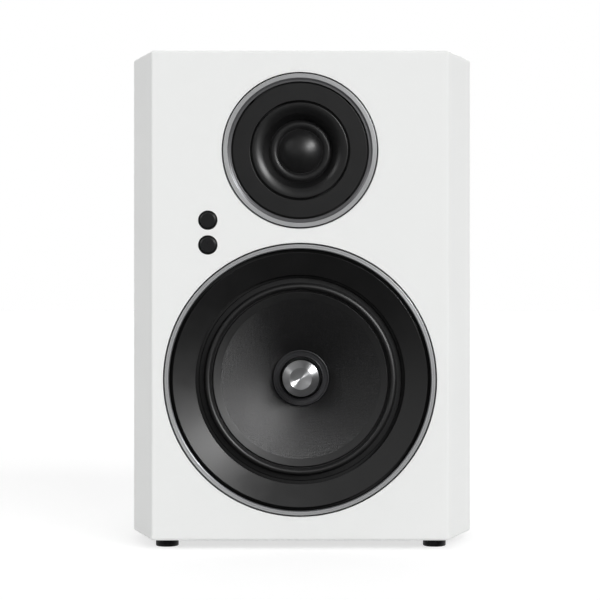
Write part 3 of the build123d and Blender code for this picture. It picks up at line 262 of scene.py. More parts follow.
@cache
def sprayed_lacquer():
    """Polyurethane lacquer on fibreboard, sprayed satin: flat colour, soft gloss, faint orange peel."""
    own = bpy.context.scene.cabinet_settings
    made, tree, shader = finish("Sprayed satin lacquer", own.lacquer, 0.42, IOR=1.5)
    waves = speckle(tree, own.orange_peel / MM, 1.0)
    relief(tree, shader, waves, 0.006)
    spread(tree, shader, "Roughness", speckle(tree, 38), 0.39, 0.46)
    return made


@cache
def moulded_rubber():
    """Nitrile rubber, press moulded: dull black with a slightly greasy sheen."""
    own = bpy.context.scene.cabinet_settings
    made, tree, shader = finish("Moulded rubber", own.rubber, 0.62)
    relief(tree, shader, speckle(tree, 0.7), 0.02)
    spread(tree, shader, "Roughness", speckle(tree, 6), 0.55, 0.7)
    return made


def anodised_ring(name, base, centre):
    """Aluminium, turned, then blasted and anodised: satin silver, a little brighter in two fans."""
    made, tree, shader = finish(name, base, 0.46, 0.52, Anisotropic=0.3)
    radius, across = round_axis(tree, centre)
    # the tool leaves a line each 0.08 mm; 0.35 mm is the finest that shows
    lines = add(
        tree, "TexNoise", {"noise_dimensions": "1D"}, {"W": radius, "Scale": 1 / (0.35 * MM), "Detail": 3.0}
    ).outputs["Fac"]
    relief(tree, shader, lines, 0.01)
    spread(tree, shader, "Roughness", lines, 0.4, 0.52)
    tint(tree, shader, lines, shaded(base, 0.94), shaded(base, 1.06))
    tree.links.new(across, shader.inputs["Tangent"])
    return made


@cache
def black_for_gap_shade():
    """Aluminium coloured black where a ring or the plug drops into its seat: painted shade that stands in for
    the shadow in the gap and hides it.
    """
    return moulded("Black side as painted gap shade", paint("#0B0B0C"), 0.5, 0.4, 0.004)


def chamfer_with_painted_shade(name, base, centre):
    """Aluminium, satin, on the ring's narrow inner bevel: its colour is darker than the ring's face, which is
    painted shade for a bevel that faces inwards; its gloss is the metal's own.
    """
    made, tree, shader = finish(name, base, 0.4, 0.7, Anisotropic=0.5)
    across = round_axis(tree, centre)[1]
    spread(tree, shader, "Roughness", speckle(tree, 4), 0.37, 0.44)
    tree.links.new(across, shader.inputs["Tangent"])
    return made


def moulded(name, base, roughness, pitch, depth, **sockets):
    """ABS, injection moulded in a spark-eroded tool: the grain breaks its gloss into a haze."""
    made, tree, shader = finish(name, base, roughness, **sockets)
    relief(tree, shader, speckle(tree, pitch, 3.0), depth)
    # the haze is uneven over patches some 22 grains wide
    blotch = speckle(tree, pitch * 22)
    spread(tree, shader, "Roughness", blotch, roughness - 0.03, roughness + 0.03)
    tint(tree, shader, blotch, shaded(base, 0.92), shaded(base, 1.08))
    return made


@cache
def coated_silk():
    """Silk, pressed and brushed with damping coat: tight threads under a soft dull skin."""
    own = bpy.context.scene.tweeter_settings
    made, tree, shader = finish("Coated silk", own.silk, 0.44, Specular_IOR_Level=0.62, Sheen_Weight=0.06)
    # real silk threads lie closer; this pitch is as fine as shows
    threads = weave(tree, own.silk_pitch / MM, 0.1)
    relief(tree, shader, threads, 0.05)
    spread(tree, shader, "Roughness", speckle(tree, 2.5), 0.41, 0.48)
    return made


def weave(tree, pitch, swap):
    """Height of a plain weave: threads pitch millimetres apart that rise and sink by a share, swap."""
    place = add(tree, "TexCoord").outputs["Object"]
    # threads wander by about a fifth of their pitch, so the cloth is never an even grid
    drift = add(tree, "TexNoise", None, {"Vector": place, "Scale": 1 / (9 * pitch * MM)}).outputs["Color"]
    reach = (pitch * MM,) * 3
    bent = add(tree, "VectorMath", {"operation": "MULTIPLY_ADD"}, {0: drift, 1: reach, 2: place})
    axes = add(tree, "SeparateXYZ", None, {0: bent.outputs[0]})
    threads, sides = [], []
    for axis in ("X", "Z"):
        count = add(tree, "Math", {"operation": "MULTIPLY"}, {0: axes.outputs[axis], 1: 1 / (pitch * MM)})
        across = add(tree, "Math", {"operation": "FRACT"}, {0: count.outputs[0]}).outputs[0]
        rest = add(tree, "Math", {"operation": "SUBTRACT"}, {0: 1.0, 1: across}).outputs[0]
        threads.append(add(tree, "Math", {"operation": "MULTIPLY"}, {0: across, 1: rest}).outputs[0])
        phase = add(tree, "Math", {"operation": "MULTIPLY"}, {0: count.outputs[0], 1: pi}).outputs[0]
        sides.append(add(tree, "Math", {"operation": "SINE"}, {0: phase}).outputs[0])
    over = add(tree, "Math", {"operation": "MULTIPLY"}, {0: sides[0], 1: sides[1]}).outputs[0]
    raised = add(tree, "Math", {"operation": "MULTIPLY_ADD"}, {0: over, 1: swap, 2: threads[0]}).outputs[0]
    sunk = add(tree, "Math", {"operation": "MULTIPLY_ADD"}, {0: over, 1: -swap, 2: threads[1]}).outputs[0]
    return add(tree, "Math", {"operation": "MAXIMUM"}, {0: raised, 1: sunk}).outputs[0]


@cache
def woven_cone():
    """Woven glass fibre, pressed and resin coated: black cloth with a low gloss on its threads."""
    own = bpy.context.scene.woofer_settings
    made, tree, shader = finish("Woven glass fibre", own.cloth, 0.33, IOR=1.6, Specular_IOR_Level=0.62)
    # a real cloth's threads may lie closer; this pitch is as fine as shows
    threads = weave(tree, own.thread_pitch / MM, 0.03)
    # a thread's thick places run some 6 mm along it, which streaks the cloth both ways
    slubs = add(
        tree, "Math", {"operation": "ADD"},
        {0: speckle(tree, 1.3, 3.0, (0.2, 1, 1)), 1: speckle(tree, 1.3, 3.0, (1, 1, 0.2))},
    ).outputs[0]
    height = add(tree, "Math", {"operation": "MULTIPLY_ADD"}, {0: slubs, 1: 0.25, 2: threads}).outputs[0]
    relief(tree, shader, height, 0.5)
    spread(tree, shader, "Roughness", speckle(tree, 4, 3.0), 0.29, 0.37)
    tint(tree, shader, speckle(tree, 1.7, 4.0), shaded(own.cloth, 0.9), shaded(own.cloth, 1.08))
    return made


@cache
def surround_rubber():
    """Butyl rubber, hot pressed: smooth black skin with a broad soft highlight."""
    own = bpy.context.scene.woofer_settings
    made, tree, shader = finish("Pressed butyl rubber", own.rubber, 0.5, Specular_IOR_Level=0.9)
    relief(tree, shader, speckle(tree, 0.9), 0.006)
    spread(tree, shader, "Roughness", speckle(tree, 9), 0.48, 0.53)
    return made


@cache
def turned_aluminium():
    """Aluminium, turned and left bright: the tool marks spin each lamp into wedges."""
    own = bpy.context.scene.woofer_settings
    made, tree, shader = finish("Turned aluminium", own.plug, 0.38, 1.0, Anisotropic=0.92)
    radius, across = round_axis(tree, WOOFER)
    # facing cuts stand 0.1 mm apart; 0.4 mm is the finest that shows
    cuts = add(
        tree, "TexNoise", {"noise_dimensions": "1D"}, {"W": radius, "Scale": 1 / (0.4 * MM), "Detail": 2.0}
    ).outputs["Fac"]
    relief(tree, shader, cuts, 0.002)
    spread(tree, shader, "Roughness", cuts, 0.34, 0.42)
    tree.links.new(across, shader.inputs["Tangent"])
    return made


@cache
def plated_steel(name="Zinc plated steel", code="#9A9C9E", roughness=0.38):
    """Mild steel, cut and plated: bright grey with a faint crystal mottle."""
    base = paint(code)
    made, tree, shader = finish(name, base, roughness, 1.0)
    mottle = speckle(tree, 3.2, 4.0)
    tint(tree, shader, mottle, shaded(base, 0.82), shaded(base, 1.12))
    spread(tree, shader, "Roughness", mottle, roughness - 0.06, roughness + 0.1)
    relief(tree, shader, speckle(tree, 0.5), 0.004)
    return made


@cache
def black_oxide():
    """Screw steel, cold headed and blackened: dark oiled metal, worn a little on its high spots."""
    return plated_steel("Black oxide steel", "#1D1D1F", 0.34)


@cache
def gold_plate():
    """Brass, turned and gold flashed: warm bright metal on the contacts."""
    return plated_steel("Gold flashed brass", "#D9B25A", 0.22)


@cache
def sintered_ferrite():
    """Strontium ferrite, pressed and fired: dark grey ceramic with a fine dusty grain."""
    return moulded("Sintered ferrite", paint("#26262A"), 0.6, 0.5, 0.02)


@cache
def die_cast():
    """Aluminium alloy, pressure cast and powder coated: black with a pebbled skin."""
    return moulded("Powder coated casting", paint("#121213"), 0.5, 0.6, 0.03)


@cache
def copper_winding():
    """Enamelled copper wire, wound in one layer: a turn each quarter millimetre, lacquered amber."""
    base, turn = paint("#B4622E"), 0.25 * MM
    made, tree, shader = finish("Enamelled copper winding", base, 0.3, 1.0)
    place = add(tree, "TexCoord").outputs["Object"]
    # at a scale of 1 the node draws 20 radians of wave to the metre
    inputs = {"Vector": place, "Scale": 2 * pi / (20 * turn)}
    turns = add(tree, "TexWave", {"bands_direction": "Y"}, inputs).outputs["Fac"]
    relief(tree, shader, turns, 0.08)
    # painted shade: the grooves between the turns are coloured darker
    tint(tree, shader, turns, shaded(base, 0.5), base)
    return made


@cache
def former_film():
    """Aramid paper, rolled: tan film that is a little mottled."""
    return moulded("Aramid film", paint("#A9884F"), 0.45, 1.2, 0.01)


@cache
def black_former():
    """Glass fibre tube, wound and varnished: black, so that it hides behind the plug."""
    return moulded("Varnished glass fibre", paint("#0A0A0B"), 0.4, 0.9, 0.01)


@cache
def spider_cloth():
    """Cotton, resin dipped and pressed into rings: open square weave, yellow brown."""
    base = paint("#B59A62")
    made, tree, shader = finish("Resin dipped cotton", base, 0.8, Sheen_Weight=0.15)
    threads = weave(tree, 0.6, 0.1)
    relief(tree, shader, threads, 0.4)
    # painted shade: the cloth is coloured darker where it sinks between its threads
    tint(tree, shader, threads, shaded(base, 0.45), base)
    return made


@cache
def wadding():
    """Polyester wadding, needled: loose white fibre with soft lumps."""
    base = paint("#DCDAD2")
    made, tree, shader = finish("Needled wadding", base, 0.95, Sheen_Weight=0.3)
    lumps = speckle(tree, 4, 6.0, (1, 2.4, 1))
    relief(tree, shader, lumps, 1.5)
    # painted shade: the hollows between the lumps are coloured darker
    tint(tree, shader, lumps, shaded(base, 0.72), base)
    return made


@cache
def gasket_foam():
    """Cellular polyethylene, die cut: matt dark grey with open pores."""
    return moulded("Die cut foam", paint("#2A2A2B"), 0.9, 0.6, 0.15)


@cache
def circuit_laminate():
    """Glass laminate, coated with solder mask: glossy deep green over a square weave."""
    base = paint("#0F3B26")
    made, tree, shader = finish("Solder masked laminate", base, 0.28, Coat_Weight=0.4)
    threads = weave(tree, 0.8, 0.1)
    relief(tree, shader, threads, 0.03)
    tint(tree, shader, threads, shaded(base, 0.8), shaded(base, 1.15))
    return made


def brushed_plate():
    """Aluminium sheet, brushed level and anodised black: fine lines along its length."""
    own = bpy.context.scene.control_settings
    made, tree, shader = finish("Brushed black anodised sheet", own.plate, 0.42, 0.6)
    # a brush leaves a line each 0.05 mm; 1 mm is the finest that shows
    lines = speckle(tree, 1.0, 4.0, (0.015, 1, 1))
    relief(tree, shader, lines, 0.05)
    spread(tree, shader, "Roughness", lines, 0.28, 0.46)
    # the lines' lighter and darker tone is partly the sheet's own and partly painted sheen, so that the
    # brushing shows
    tint(tree, shader, lines, shaded(own.plate, 0.5), shaded(own.plate, 2.0))
    return made


def dress(material, *nodes):
    """Gives CAD nodes their finish."""
    for node in nodes:
        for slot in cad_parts[node].material_slots:
            slot.link = "OBJECT"
            slot.material = material


# ------------------------------------------------------------------ making pieces


def arc(middle, radius, start, end, count):
    """Points of an arc in a profile; angles in degrees, 0 outwards and 90 towards the listener."""
    turn = (end - start) / count
    angles = [radians(start + turn * i) for i in range(count + 1)]
    return [(middle[0] + radius * cos(a), middle[1] - radius * sin(a)) for a in angles]


def lathe(name, profile, centre, material, soften=0.0, steps=192):
    """A piece turned round a driver's axis from a closed profile, with its corners softened."""
    bm = bmesh.new()
    corners = [bm.verts.new((r * MM, d * MM, 0)) for r, d in profile]
    for near, far in zip(corners, corners[1:] + corners[:1]):
        bm.edges.new((near, far))
    if soften:
        bmesh.ops.bevel(
            bm, geom=corners, offset=soften * MM, offset_type="OFFSET", segments=3,
            profile=0.5, affect="VERTICES", material=-1,
        )
    bmesh.ops.spin(
        bm, geom=bm.verts[:] + bm.edges[:], cent=(0, 0, 0), axis=(0, 1, 0),
        angle=2 * pi, steps=steps, use_merge=True,
    )
    bmesh.ops.remove_doubles(bm, verts=bm.verts, dist=1e-7)
    bmesh.ops.translate(bm, verts=bm.verts, vec=(centre.x, FACE, centre.z))
    return piece(name, bm, material)


def piece(name, bm, material):
    """Turns a bmesh into a named piece: faces outwards, smooth but for its sharp edges."""
    sharp = radians(35)
    bmesh.ops.recalc_face_normals(bm, faces=bm.faces)
    for face in bm.faces:
        face.smooth = True
    for edge in bm.edges:
        edge.smooth = len(edge.link_faces) == 2 and edge.calc_face_angle() < sharp
    mesh = bpy.data.meshes.new(name)
    bm.to_mesh(mesh)
    bm.free()
    mesh.materials.append(material)
    made = bpy.data.objects.new(name, mesh)
    bpy.context.scene.collection.objects.link(made)
    level = made.modifiers.new("Flat faces stay flat", "WEIGHTED_NORMAL")
    level.keep_sharp = True
    return made


def off_axis(at, centre):
    """How far a place is from a driver's axis, in metres."""
    return Vector((at.x - centre.x, at.z - centre.z)).length


def second_finish(made, material, centre, chosen):
    """Gives another finish to the faces that their middle's radius and depth in millimetres choose."""
    made.data.materials.append(material)
    index = len(made.data.materials) - 1
    for face in made.data.polygons:
        if chosen(off_axis(face.center, centre) / MM, (face.center.y - FACE) / MM):
            face.material_index = index


def stand_in(made, body, node):
    """A finished piece takes a CAD node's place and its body."""
    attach(made, body)
    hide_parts(node)


def hang(made, moving, centre, inner, outer):
    """Holds a ring still beyond outer millimetres and lets it follow a diaphragm within inner ones."""
    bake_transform(made, "cabinet", moving, centre, centre + Vector((0, 0.01, 0)))
    share = made.data.attributes["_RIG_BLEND"].data
    for vertex, weight in zip(made.data.vertices, share):
        along = min(1, max(0, (outer * MM - off_axis(vertex.co, centre)) / ((outer - inner) * MM)))
        # an S curve, so the stretch starts and ends gently
        weight.value = along * along * (3 - 2 * along)


# ------------------------------------------------------------------ operators


class SPEAKER_OT_cabinet(bpy.types.Operator):
    """Lacquers the six panels and finishes the feet, wadding and port"""

    bl_idname = "speaker.cabinet"
    bl_label = "Cabinet"

    def execute(self, context):
        dress(sprayed_lacquer(), *LACQUERED)
        dress(wadding(), "damping_mats")
        dress(moulded_rubber(), "rubber_feet")
        dress(moulded("Moulded port", paint("#0E0E0F"), 0.5, 0.5, 0.01), "port_tube")
        return {"FINISHED"}


class SPEAKER_OT_tweeter(bpy.types.Operator):
    """Makes the tweeter's ring, faceplate, horn, surround and dome, and finishes the rest of it"""

    bl_idname = "speaker.tweeter"
    bl_label = "Tweeter"

    def execute(self, context):
        own = context.scene.tweeter_settings
        ring = [
            (47.4, 2.5), (47.4, 0.1), (47.0, -0.7), (46.85, -0.8), (44.5, -0.8), (44.3, -0.65),
            (43.4, 0.35), (43.2, 0.4), (42.3, 0.4), (42.2, 0.5), (42.2, 2.5),
        ]
        satin = anodised_ring("Anodised tweeter ring", own.ring, TWEETER)
        made = lathe("tweeter_ring", ring, TWEETER, satin, 0.05)
        # the inner chamfer's darker colour paints the shade on a bevel that faces inwards
        cut = chamfer_with_painted_shade("Tweeter chamfer with painted shade", own.chamfer, TWEETER)
        second_finish(made, cut, TWEETER, lambda radius, depth: radius < 44.4)
        # painted shadow: the ring's outer bevel and its back are black, standing in for the shadow in the
        # gaps beside the ring
        second_finish(made, black_for_gap_shade(), TWEETER, lambda radius, depth: depth > 0.55 or radius > 47.1)
        stand_in(made, "cabinet", "tweeter_trim_ring")
        plate = [(30.6, 2.5), (30.6, 0.4), (41.2, 0.4), (41.2, 2.5)]
        plastic = moulded("Moulded faceplate", own.faceplate, 0.52, 0.6, 0.012)
        made = lathe("tweeter_face", plate, TWEETER, plastic, own.soft_edge / MM)
        stand_in(made, "cabinet", "tweeter_faceplate")
        horn = (
            arc((28.9, 0.9), 0.5, 0, 90, 4) + arc((28.6, 7.6), 7.2, 90, 158, 16)
            + [(19.3, 9.45), (19.3, 9.5), (20.7, 9.5), (20.7, 9.9), (39.6, 9.9), (39.6, 5.0)]
            + [(47.4, 5.0), (47.4, 2.5), (30.7, 2.5), (30.7, 4.2), (29.3, 4.2)]
        )
        # the horn's colour, a little darker than the faceplate's, partly paints the shade deep in its bowl
        plastic = moulded("Moulded horn", own.horn, 0.44, 0.5, 0.003, Specular_IOR_Level=0.6)
        made = lathe("tweeter_horn", horn, TWEETER, plastic)
        stand_in(made, "cabinet", "tweeter_waveguide")
        roll = [(13.6, 9.85)] + arc((16.6, 11.0), 3.0, 157, 29, 16) + [(20.5, 9.6)]
        back = [(20.5, 9.9)] + arc((16.6, 11.2), 2.7, 29, 154, 16)
        made = lathe("tweeter_silk_roll", roll + back, TWEETER, coated_silk())
        hang(made, "tweeter_diaphragm", TWEETER, 14.7, 18.6)
        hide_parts("tweeter_surround")
        dome = arc((0, 16.9), 15.2, 90, 28.6, 24) + [(13.5, 9.9), (13.0, 9.9)]
        inside = arc((0, 17.2), 15.0, 31, 90, 24)
        made = lathe("tweeter_silk_dome", dome + inside, TWEETER, coated_silk())
        stand_in(made, "tweeter_diaphragm", "tweeter_dome")
        dress(gasket_foam(), "tweeter_gasket")
        dress(former_film(), "tweeter_coil_former")
        dress(copper_winding(), "tweeter_voice_coil")
        dress(plated_steel(), "tweeter_top_plate", "tweeter_yoke")
        dress(sintered_ferrite(), "tweeter_magnet")
        dress(black_oxide(), "tweeter_screws")
        dress(moulded("Moulded chamber", paint("#151516"), 0.5, 0.6, 0.01), "tweeter_rear_chamber")
        return {"FINISHED"}


class SPEAKER_OT_woofer(bpy.types.Operator):
    """Makes the woofer's ring, bezel, surround, collar, plug and spider, and finishes the rest of it"""

    bl_idname = "speaker.woofer"
    bl_label = "Woofer"

    def execute(self, context):
        own = context.scene.woofer_settings
        ring = [
            (83.3, 5.0), (83.3, 0.1), (82.85, -0.7), (82.7, -0.8), (81.95, -0.8), (81.85, -0.62),
            (81.65, -0.62), (81.55, -0.8), (80.7, -0.8), (80.15, -0.48), (80.1, -0.4), (80.1, 5.0),
        ]
        satin = anodised_ring("Anodised woofer ring", own.ring, WOOFER)
        made = lathe("woofer_ring", ring, WOOFER, satin, 0.03, 288)
        # the inner chamfer's darker colour paints the shade on a bevel that faces inwards
        cut = chamfer_with_painted_shade("Woofer chamfer with painted shade", own.chamfer, WOOFER)
        second_finish(made, cut, WOOFER, lambda radius, depth: radius < 80.68 and depth < -0.4)
        # painted shadow: the ring's outer bevel and its back are black, standing in for the shadow in the
        # gaps beside the ring
        second_finish(made, black_for_gap_shade(), WOOFER, lambda radius, depth: depth > -0.4 or radius > 82.95)
        stand_in(made, "cabinet", "woofer_trim_ring")
        bezel = [
            (79.9, 5.0), (79.9, 3.6), (78.1, 3.6), (78.1, 0.34), (77.8, 0.34), (64.4, 5.33),
            (64.4, 6.23), (65.2, 6.23), (65.2, 5.0),
        ]
        plastic = moulded("Moulded bezel", own.bezel, 0.37, 0.6, 0.005, Specular_IOR_Level=0.85)
        made = lathe("woofer_bezel_ring", bezel, WOOFER, plastic, own.soft_edge / MM, 288)
        # the foot lies deep in the gap beside the ring, and a dull finish keeps the gap dark
        second_finish(made, moulded_rubber(), WOOFER, lambda radius, depth: radius > 78.15)
        stand_in(made, "cabinet", "woofer_bezel")
        roll = (
            [(49.2, 9.45), (49.5, 9.3)] + arc((53.5, 8.15), 0.25, 108, 10, 4)
            + arc((54.6, 8.6), 0.4, 200, 325, 6) + arc((57.05, 6.75), 1.3, 145, 94, 8)
            + arc((57.05, 7.2), 1.75, 90, 35, 8)
            + [(59.2, 7.9), (59.5, 8.5), (62.2, 8.8), (62.7, 9.3), (65.2, 9.3), (65.2, 9.5)]
            + arc((57.4, 9.5), 2.2, 0, 180, 20)
        )
        made = lathe("woofer_rubber_roll", roll, WOOFER, surround_rubber(), 0, 256)
        # the flange outside the roll is duller than the roll
        second_finish(made, moulded_rubber(), WOOFER, lambda radius, depth: radius > 59.3)
        hang(made, "woofer_diaphragm", WOOFER, 53.7, 60.4)
        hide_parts("woofer_surround")
        collar = (
            [(13.2, 31.4), (13.2, 27.0)] + arc((13.65, 26.9), 0.35, 150, 30, 4)
            + [(14.2, 27.25), (16.3, 26.95)] + arc((16.9, 26.75), 0.55, 150, -10, 6) + [(17.5, 28.4)]
        )
        plastic = moulded("Moulded collar", paint("#303032"), 0.4, 0.5, 0.006)
        made = lathe("woofer_neck_collar", collar, WOOFER, plastic, 0, 128)
        stand_in(made, "woofer_diaphragm", "woofer_collar")
        plug = (
            [(0, 16.7), (1.7, 16.62), (3.4, 16.38), (5.0, 16.0), (6.5, 15.45)]
            + arc((6.85, 15.6), 0.3, 150, 40, 4)
            + [(8.5, 16.5), (11.25, 18.5), (11.35, 18.7), (11.35, 40.5), (0, 40.5)]
        )
        made = lathe("turned_phase_plug", plug, WOOFER, turned_aluminium(), 0, 128)
        # painted shade: the plug's side below its flank is black, standing in for the shadow in the gap to
        # the collar
        second_finish(made, black_for_gap_shade(), WOOFER, lambda radius, depth: depth > 18.65)
        stand_in(made, "cabinet", "phase_plug")
        # the cloth is pressed into waves, which stretch as its middle follows the coil
        waves, start, width, level, thickness = 4, 16.8, 18.2, 34.0, 0.5
        turns = [i / (16 * waves) for i in range(16 * waves + 1)]
        front = [(start + width * t, level - sin(2 * pi * waves * t)) for t in turns]
        front = [(13.2, level)] + front + [(43.0, level)]
        back = [(radius, depth + thickness) for radius, depth in reversed(front)]
        made = lathe("woofer_waved_spider", front + back, WOOFER, spider_cloth(), 0, 128)
        hang(made, "woofer_diaphragm", WOOFER, 17.5, 34.5)
        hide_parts("woofer_spider")
        dress(woven_cone(), "woofer_cone")
        dress(gasket_foam(), "woofer_gasket")
        dress(die_cast(), "woofer_basket")
        dress(black_former(), "woofer_coil_former")
        dress(copper_winding(), "woofer_voice_coil")
        dress(plated_steel(), "woofer_top_plate", "woofer_yoke")
        dress(sintered_ferrite(), "woofer_magnet")
        dress(black_oxide(), "woofer_screws")
        return {"FINISHED"}


class SPEAKER_OT_buttons(bpy.types.Operator):
    """Finishes the two front buttons, their sleeve and board"""

    bl_idname = "speaker.buttons"
    bl_label = "Front buttons"

    def execute(self, context):
        own = context.scene.control_settings
        dress(moulded("Moulded button", own.button, 0.42, 0.5, 0.004), "power_button", "source_button")
        dress(moulded("Moulded sleeve", paint("#050506"), 0.4, 0.5, 0.004), "button_holder")
        dress(moulded("Tinted lens", paint("#07080C"), 0.15, 0.5, 0.001), "status_led_lens")
        dress(moulded("Switch body", paint("#1A1A1C"), 0.5, 0.5, 0.004), "tact_switches")
        dress(circuit_laminate(), "button_board")
        dress(black_oxide(), "button_board_screws")
        return {"FINISHED"}


class SPEAKER_OT_amplifier(bpy.types.Operator):
    """Finishes the amplifier plate with its controls and sockets"""

    bl_idname = "speaker.amplifier"
    bl_label = "Amplifier"

    def execute(self, context):
        own = context.scene.control_settings
        dress(brushed_plate(), "amplifier_plate")
        dress(plated_steel("Black anodised extrusion", "#18181A", 0.4), "heat_sink")
        dress(black_oxide(), "amplifier_screws")
        dress(plated_steel(), "board_standoffs", "volume_shaft")
        dress(circuit_laminate(), "amplifier_board")
        dress(moulded("Moulded knob", own.knob, 0.45, 0.5, 0.006), "volume_knob", "channel_slider")
        shell = moulded("Switch shell", paint("#17171A"), 0.45, 0.5, 0.006)
        dress(shell, "volume_potentiometer", "channel_switch")
        dress(gold_plate(), "phono_sleeves", "inlet_pins")
        dress(moulded("Phono insert", paint("#C8C8C6"), 0.4, 0.5, 0.004), "phono_inserts")
        fitting = moulded("Moulded mains fitting", paint("#0F0F10"), 0.4, 0.5, 0.005)
        dress(fitting, "mains_inlet", "rocker_housing", "power_rocker")
        return {"FINISHED"}


# where the far lights stand, as directions from the speaker
RIGHT_FRONT = (0.5, -0.74, 0.45)
LEFT_FRONT = (-0.44, -0.82, 0.37)
FAR_LEFT = (-0.86, -0.14, 0.5)
OVERHEAD = (0, 0.25, 0.97)
BEHIND = (0, 0.95, 0.3)
# the softbox reaches from its near end to its far end and looks at the middle of the front, in metres
SOFTBOX_NEAR = Vector((1.16, FACE - 1.8, 0.89))
SOFTBOX_FAR = Vector((2.0, FACE - 0.4, 1.5))
SOFTBOX_HEIGHT = 0.33
SOFTBOX_AIM = Vector((0, FACE, 0.15))


class SPEAKER_OT_studio(bpy.types.Operator):
    """Sets up the floor, the soft lights, the background and the camera"""

    bl_idname = "speaker.studio"
    bl_label = "Studio"

    def execute(self, context):
        own = context.scene.studio_settings
        self.floor(own)
        self.room(own)
        # the key and left lights aren't seen in mirrors, which show the softbox and the left card instead
        self.sun("Key light", own.key, RIGHT_FRONT, 40).visible_glossy = False
        self.softbox("Softbox", own.softbox)
        self.sun("Left light", own.left, FAR_LEFT, 24).visible_glossy = False
        self.sun("Left card", own.card, FAR_LEFT, 24).visible_diffuse = False
        self.sun("Fill light", own.fill, LEFT_FRONT, 70)
        self.sun("Top light", own.top, OVERHEAD, 60)
        self.sun("Back light", own.back, BEHIND, 40)
        self.camera(context.scene, own)
        context.scene.view_settings.view_transform = "Standard"
        return {"FINISHED"}

    def camera(self, scene, own):
        """A level camera, with its lens shifted so that the speaker stays in the middle."""
        low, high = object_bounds()
        made = bpy.data.cameras.new("Camera")
        made.lens = own.lens
        made.sensor_width = 36
        camera = bpy.data.objects.new("Camera", made)
        scene.collection.objects.link(camera)
        camera.location = (own.aside, FACE - own.distance, own.height)
        camera.rotation_euler = (pi / 2, 0, 0)
        # what the sensor takes in at the face of the baffle
        across = own.distance * made.sensor_width / made.lens
        made.shift_x = -camera.location.x / across
        made.shift_y = ((low.z + high.z) / 2 - camera.location.z) / across
        scene.camera = camera

    def sun(self, name, strength, towards, width):
        """A far soft light that stands in a direction and looks width degrees wide."""
        lamp = bpy.data.lights.new(name, "SUN")
        lamp.energy = strength
        lamp.angle = radians(width)
        made = bpy.data.objects.new(name, lamp)
        made.rotation_euler = Vector(towards).to_track_quat("Z", "Y").to_euler()
        bpy.context.scene.collection.objects.link(made)
        return made

    def softbox(self, name, power):
        """A near strip of light that only mirrors show, flagged off the pale lacquer."""
        lamp = bpy.data.lights.new(name, "AREA")
        lamp.shape = "RECTANGLE"
        lamp.size = (SOFTBOX_FAR - SOFTBOX_NEAR).length
        lamp.size_y = SOFTBOX_HEIGHT
        lamp.energy = power
        made = bpy.data.objects.new(name, lamp)
        made.location = (SOFTBOX_NEAR + SOFTBOX_FAR) / 2
        along = (SOFTBOX_FAR - SOFTBOX_NEAR).normalized()
        upright = along.cross(SOFTBOX_AIM - made.location).normalized()
        made.rotation_euler = Matrix((along, upright, along.cross(upright))).transposed().to_euler()
        made.visible_camera = False
        made.visible_diffuse = False
        flagged = bpy.data.collections.new("Flagged off the softbox")
        for node in LACQUERED:
            flagged.objects.link(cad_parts[node])
        for entry in flagged.collection_objects:
            entry.light_linking.link_state = "EXCLUDE"
        made.light_linking.receiver_collection = flagged
        bpy.context.scene.collection.objects.link(made)

    def floor(self, own):
        """A pale matt floor that is white to the camera and keeps the speaker's shadow."""
        bm = bmesh.new()
        bmesh.ops.create_grid(bm, x_segments=1, y_segments=1, size=12)
        paper, tree, shader = finish("Matt paper floor", paint("#F2F2F2"), 0.95)
        spread(tree, shader, "Roughness", speckle(tree, 60), 0.9, 1.0)
        path = add(tree, "LightPath")
        seen = self.seen(tree, path, path.outputs["Is Glossy Ray"])
        # half of what is seen is the floor's own white, and half is the light on it, which has the shadow
        glow = add(tree, "Emission", None, {"Color": (1, 1, 1, 1), "Strength": own.glow})
        half = add(tree, "MixShader", None, {0: 0.5, 1: shader.outputs[0], 2: glow.outputs[0]})
        mixed = add(tree, "MixShader", None, {0: seen, 1: shader.outputs[0], 2: half.outputs[0]})
        tree.links.new(mixed.outputs[0], tree.nodes["Material Output"].inputs[0])
        floor = piece("studio_floor", bm, paper)
        # mirrors look past the floor into the dim side of the room, so black gloss stays deep
        floor.visible_glossy = False
        floor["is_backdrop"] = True

    def seen(self, tree, path, mirrored):
        """1 for rays that meet the background straight or through glass, else what mirrored says."""
        straight = add(
            tree, "Math", {"operation": "MAXIMUM"},
            {0: path.outputs["Is Camera Ray"], 1: path.outputs["Is Transmission Ray"]},
        )
        inputs = {0: straight.outputs[0], 1: mirrored}
        return add(tree, "Math", {"operation": "MAXIMUM"}, inputs).outputs[0]

    def room(self, own):
        """Even light from a pale room, with a white background."""
        world = bpy.data.worlds.new("Studio")
        bpy.context.scene.world = world
        world.use_nodes = True
        tree = world.node_tree
        room = tree.nodes["Background"]
        room.inputs["Color"].default_value = (1, 1, 1, 1)
        room.inputs["Strength"].default_value = own.room
        white = add(tree, "Background", None, {"Color": (1, 1, 1, 1), "Strength": 1.0})
        dim = add(tree, "Background", None, {"Color": (1, 1, 1, 1), "Strength": own.dim})
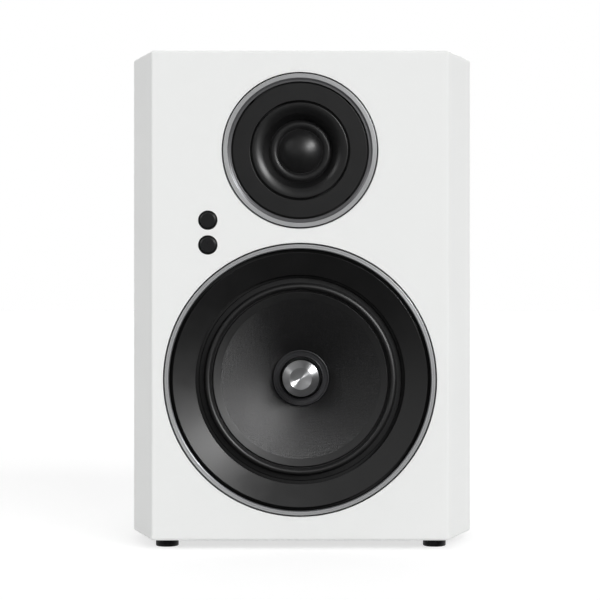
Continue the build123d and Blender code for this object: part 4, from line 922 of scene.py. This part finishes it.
        # mirrors show the white behind the speaker and, in front of it, the dim side of the room
        way = add(tree, "SeparateXYZ", None, {0: add(tree, "TexCoord").outputs["Generated"]}).outputs["Y"]
        behind = add(tree, "MapRange", None, {"Value": way, "From Min": -0.2, "From Max": 0.3}).outputs[0]
        path = add(tree, "LightPath")
        glossy = path.outputs["Is Glossy Ray"]
        mirrored = add(tree, "Math", {"operation": "MULTIPLY"}, {0: glossy, 1: behind}).outputs[0]
        seen = self.seen(tree, path, mirrored)
        rest = add(tree, "MixShader", None, {0: glossy, 1: room.outputs[0], 2: dim.outputs[0]})
        mixed = add(tree, "MixShader", None, {0: seen, 1: rest.outputs[0], 2: white.outputs[0]})
        tree.links.new(mixed.outputs[0], tree.nodes["World Output"].inputs[0])


class SPEAKER_PT_panel(bpy.types.Panel):
    """Lists the steps that dress the speaker"""

    bl_label = "Speaker"
    bl_idname = "SPEAKER_PT_panel"
    bl_space_type = "VIEW_3D"
    bl_region_type = "UI"
    bl_category = "Speaker"

    def draw(self, context):
        for name, steps in STEPS.items():
            box = self.layout.box()
            own = getattr(context.scene, name)
            for prop in own.__annotations__:
                box.prop(own, prop)
            for step in steps:
                box.operator(step.bl_idname)


STEPS = {
    "cabinet_settings": (SPEAKER_OT_cabinet,),
    "tweeter_settings": (SPEAKER_OT_tweeter,),
    "woofer_settings": (SPEAKER_OT_woofer,),
    "control_settings": (SPEAKER_OT_buttons, SPEAKER_OT_amplifier),
    "studio_settings": (SPEAKER_OT_studio,),
}
SETTINGS = {
    "cabinet_settings": CabinetSettings,
    "tweeter_settings": TweeterSettings,
    "woofer_settings": WooferSettings,
    "control_settings": ControlSettings,
    "studio_settings": StudioSettings,
}
OPERATORS = [step for steps in STEPS.values() for step in steps]


def register():
    """Makes the settings, the steps and the panel known to Blender."""
    for made in (*SETTINGS.values(), *OPERATORS, SPEAKER_PT_panel):
        bpy.utils.register_class(made)
    for name, group in SETTINGS.items():
        setattr(bpy.types.Scene, name, PointerProperty(type=group))


def unregister():
    """Takes them out again."""
    for name in SETTINGS:
        delattr(bpy.types.Scene, name)
    for made in reversed((*SETTINGS.values(), *OPERATORS, SPEAKER_PT_panel)):
        bpy.utils.unregister_class(made)


def main():
    """Dresses the speaker step by step."""
    register()
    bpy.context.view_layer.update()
    for step in OPERATORS:
        group, name = step.bl_idname.split(".")
        getattr(getattr(bpy.ops, group), name)()


if __name__ == "__main__":
    main()
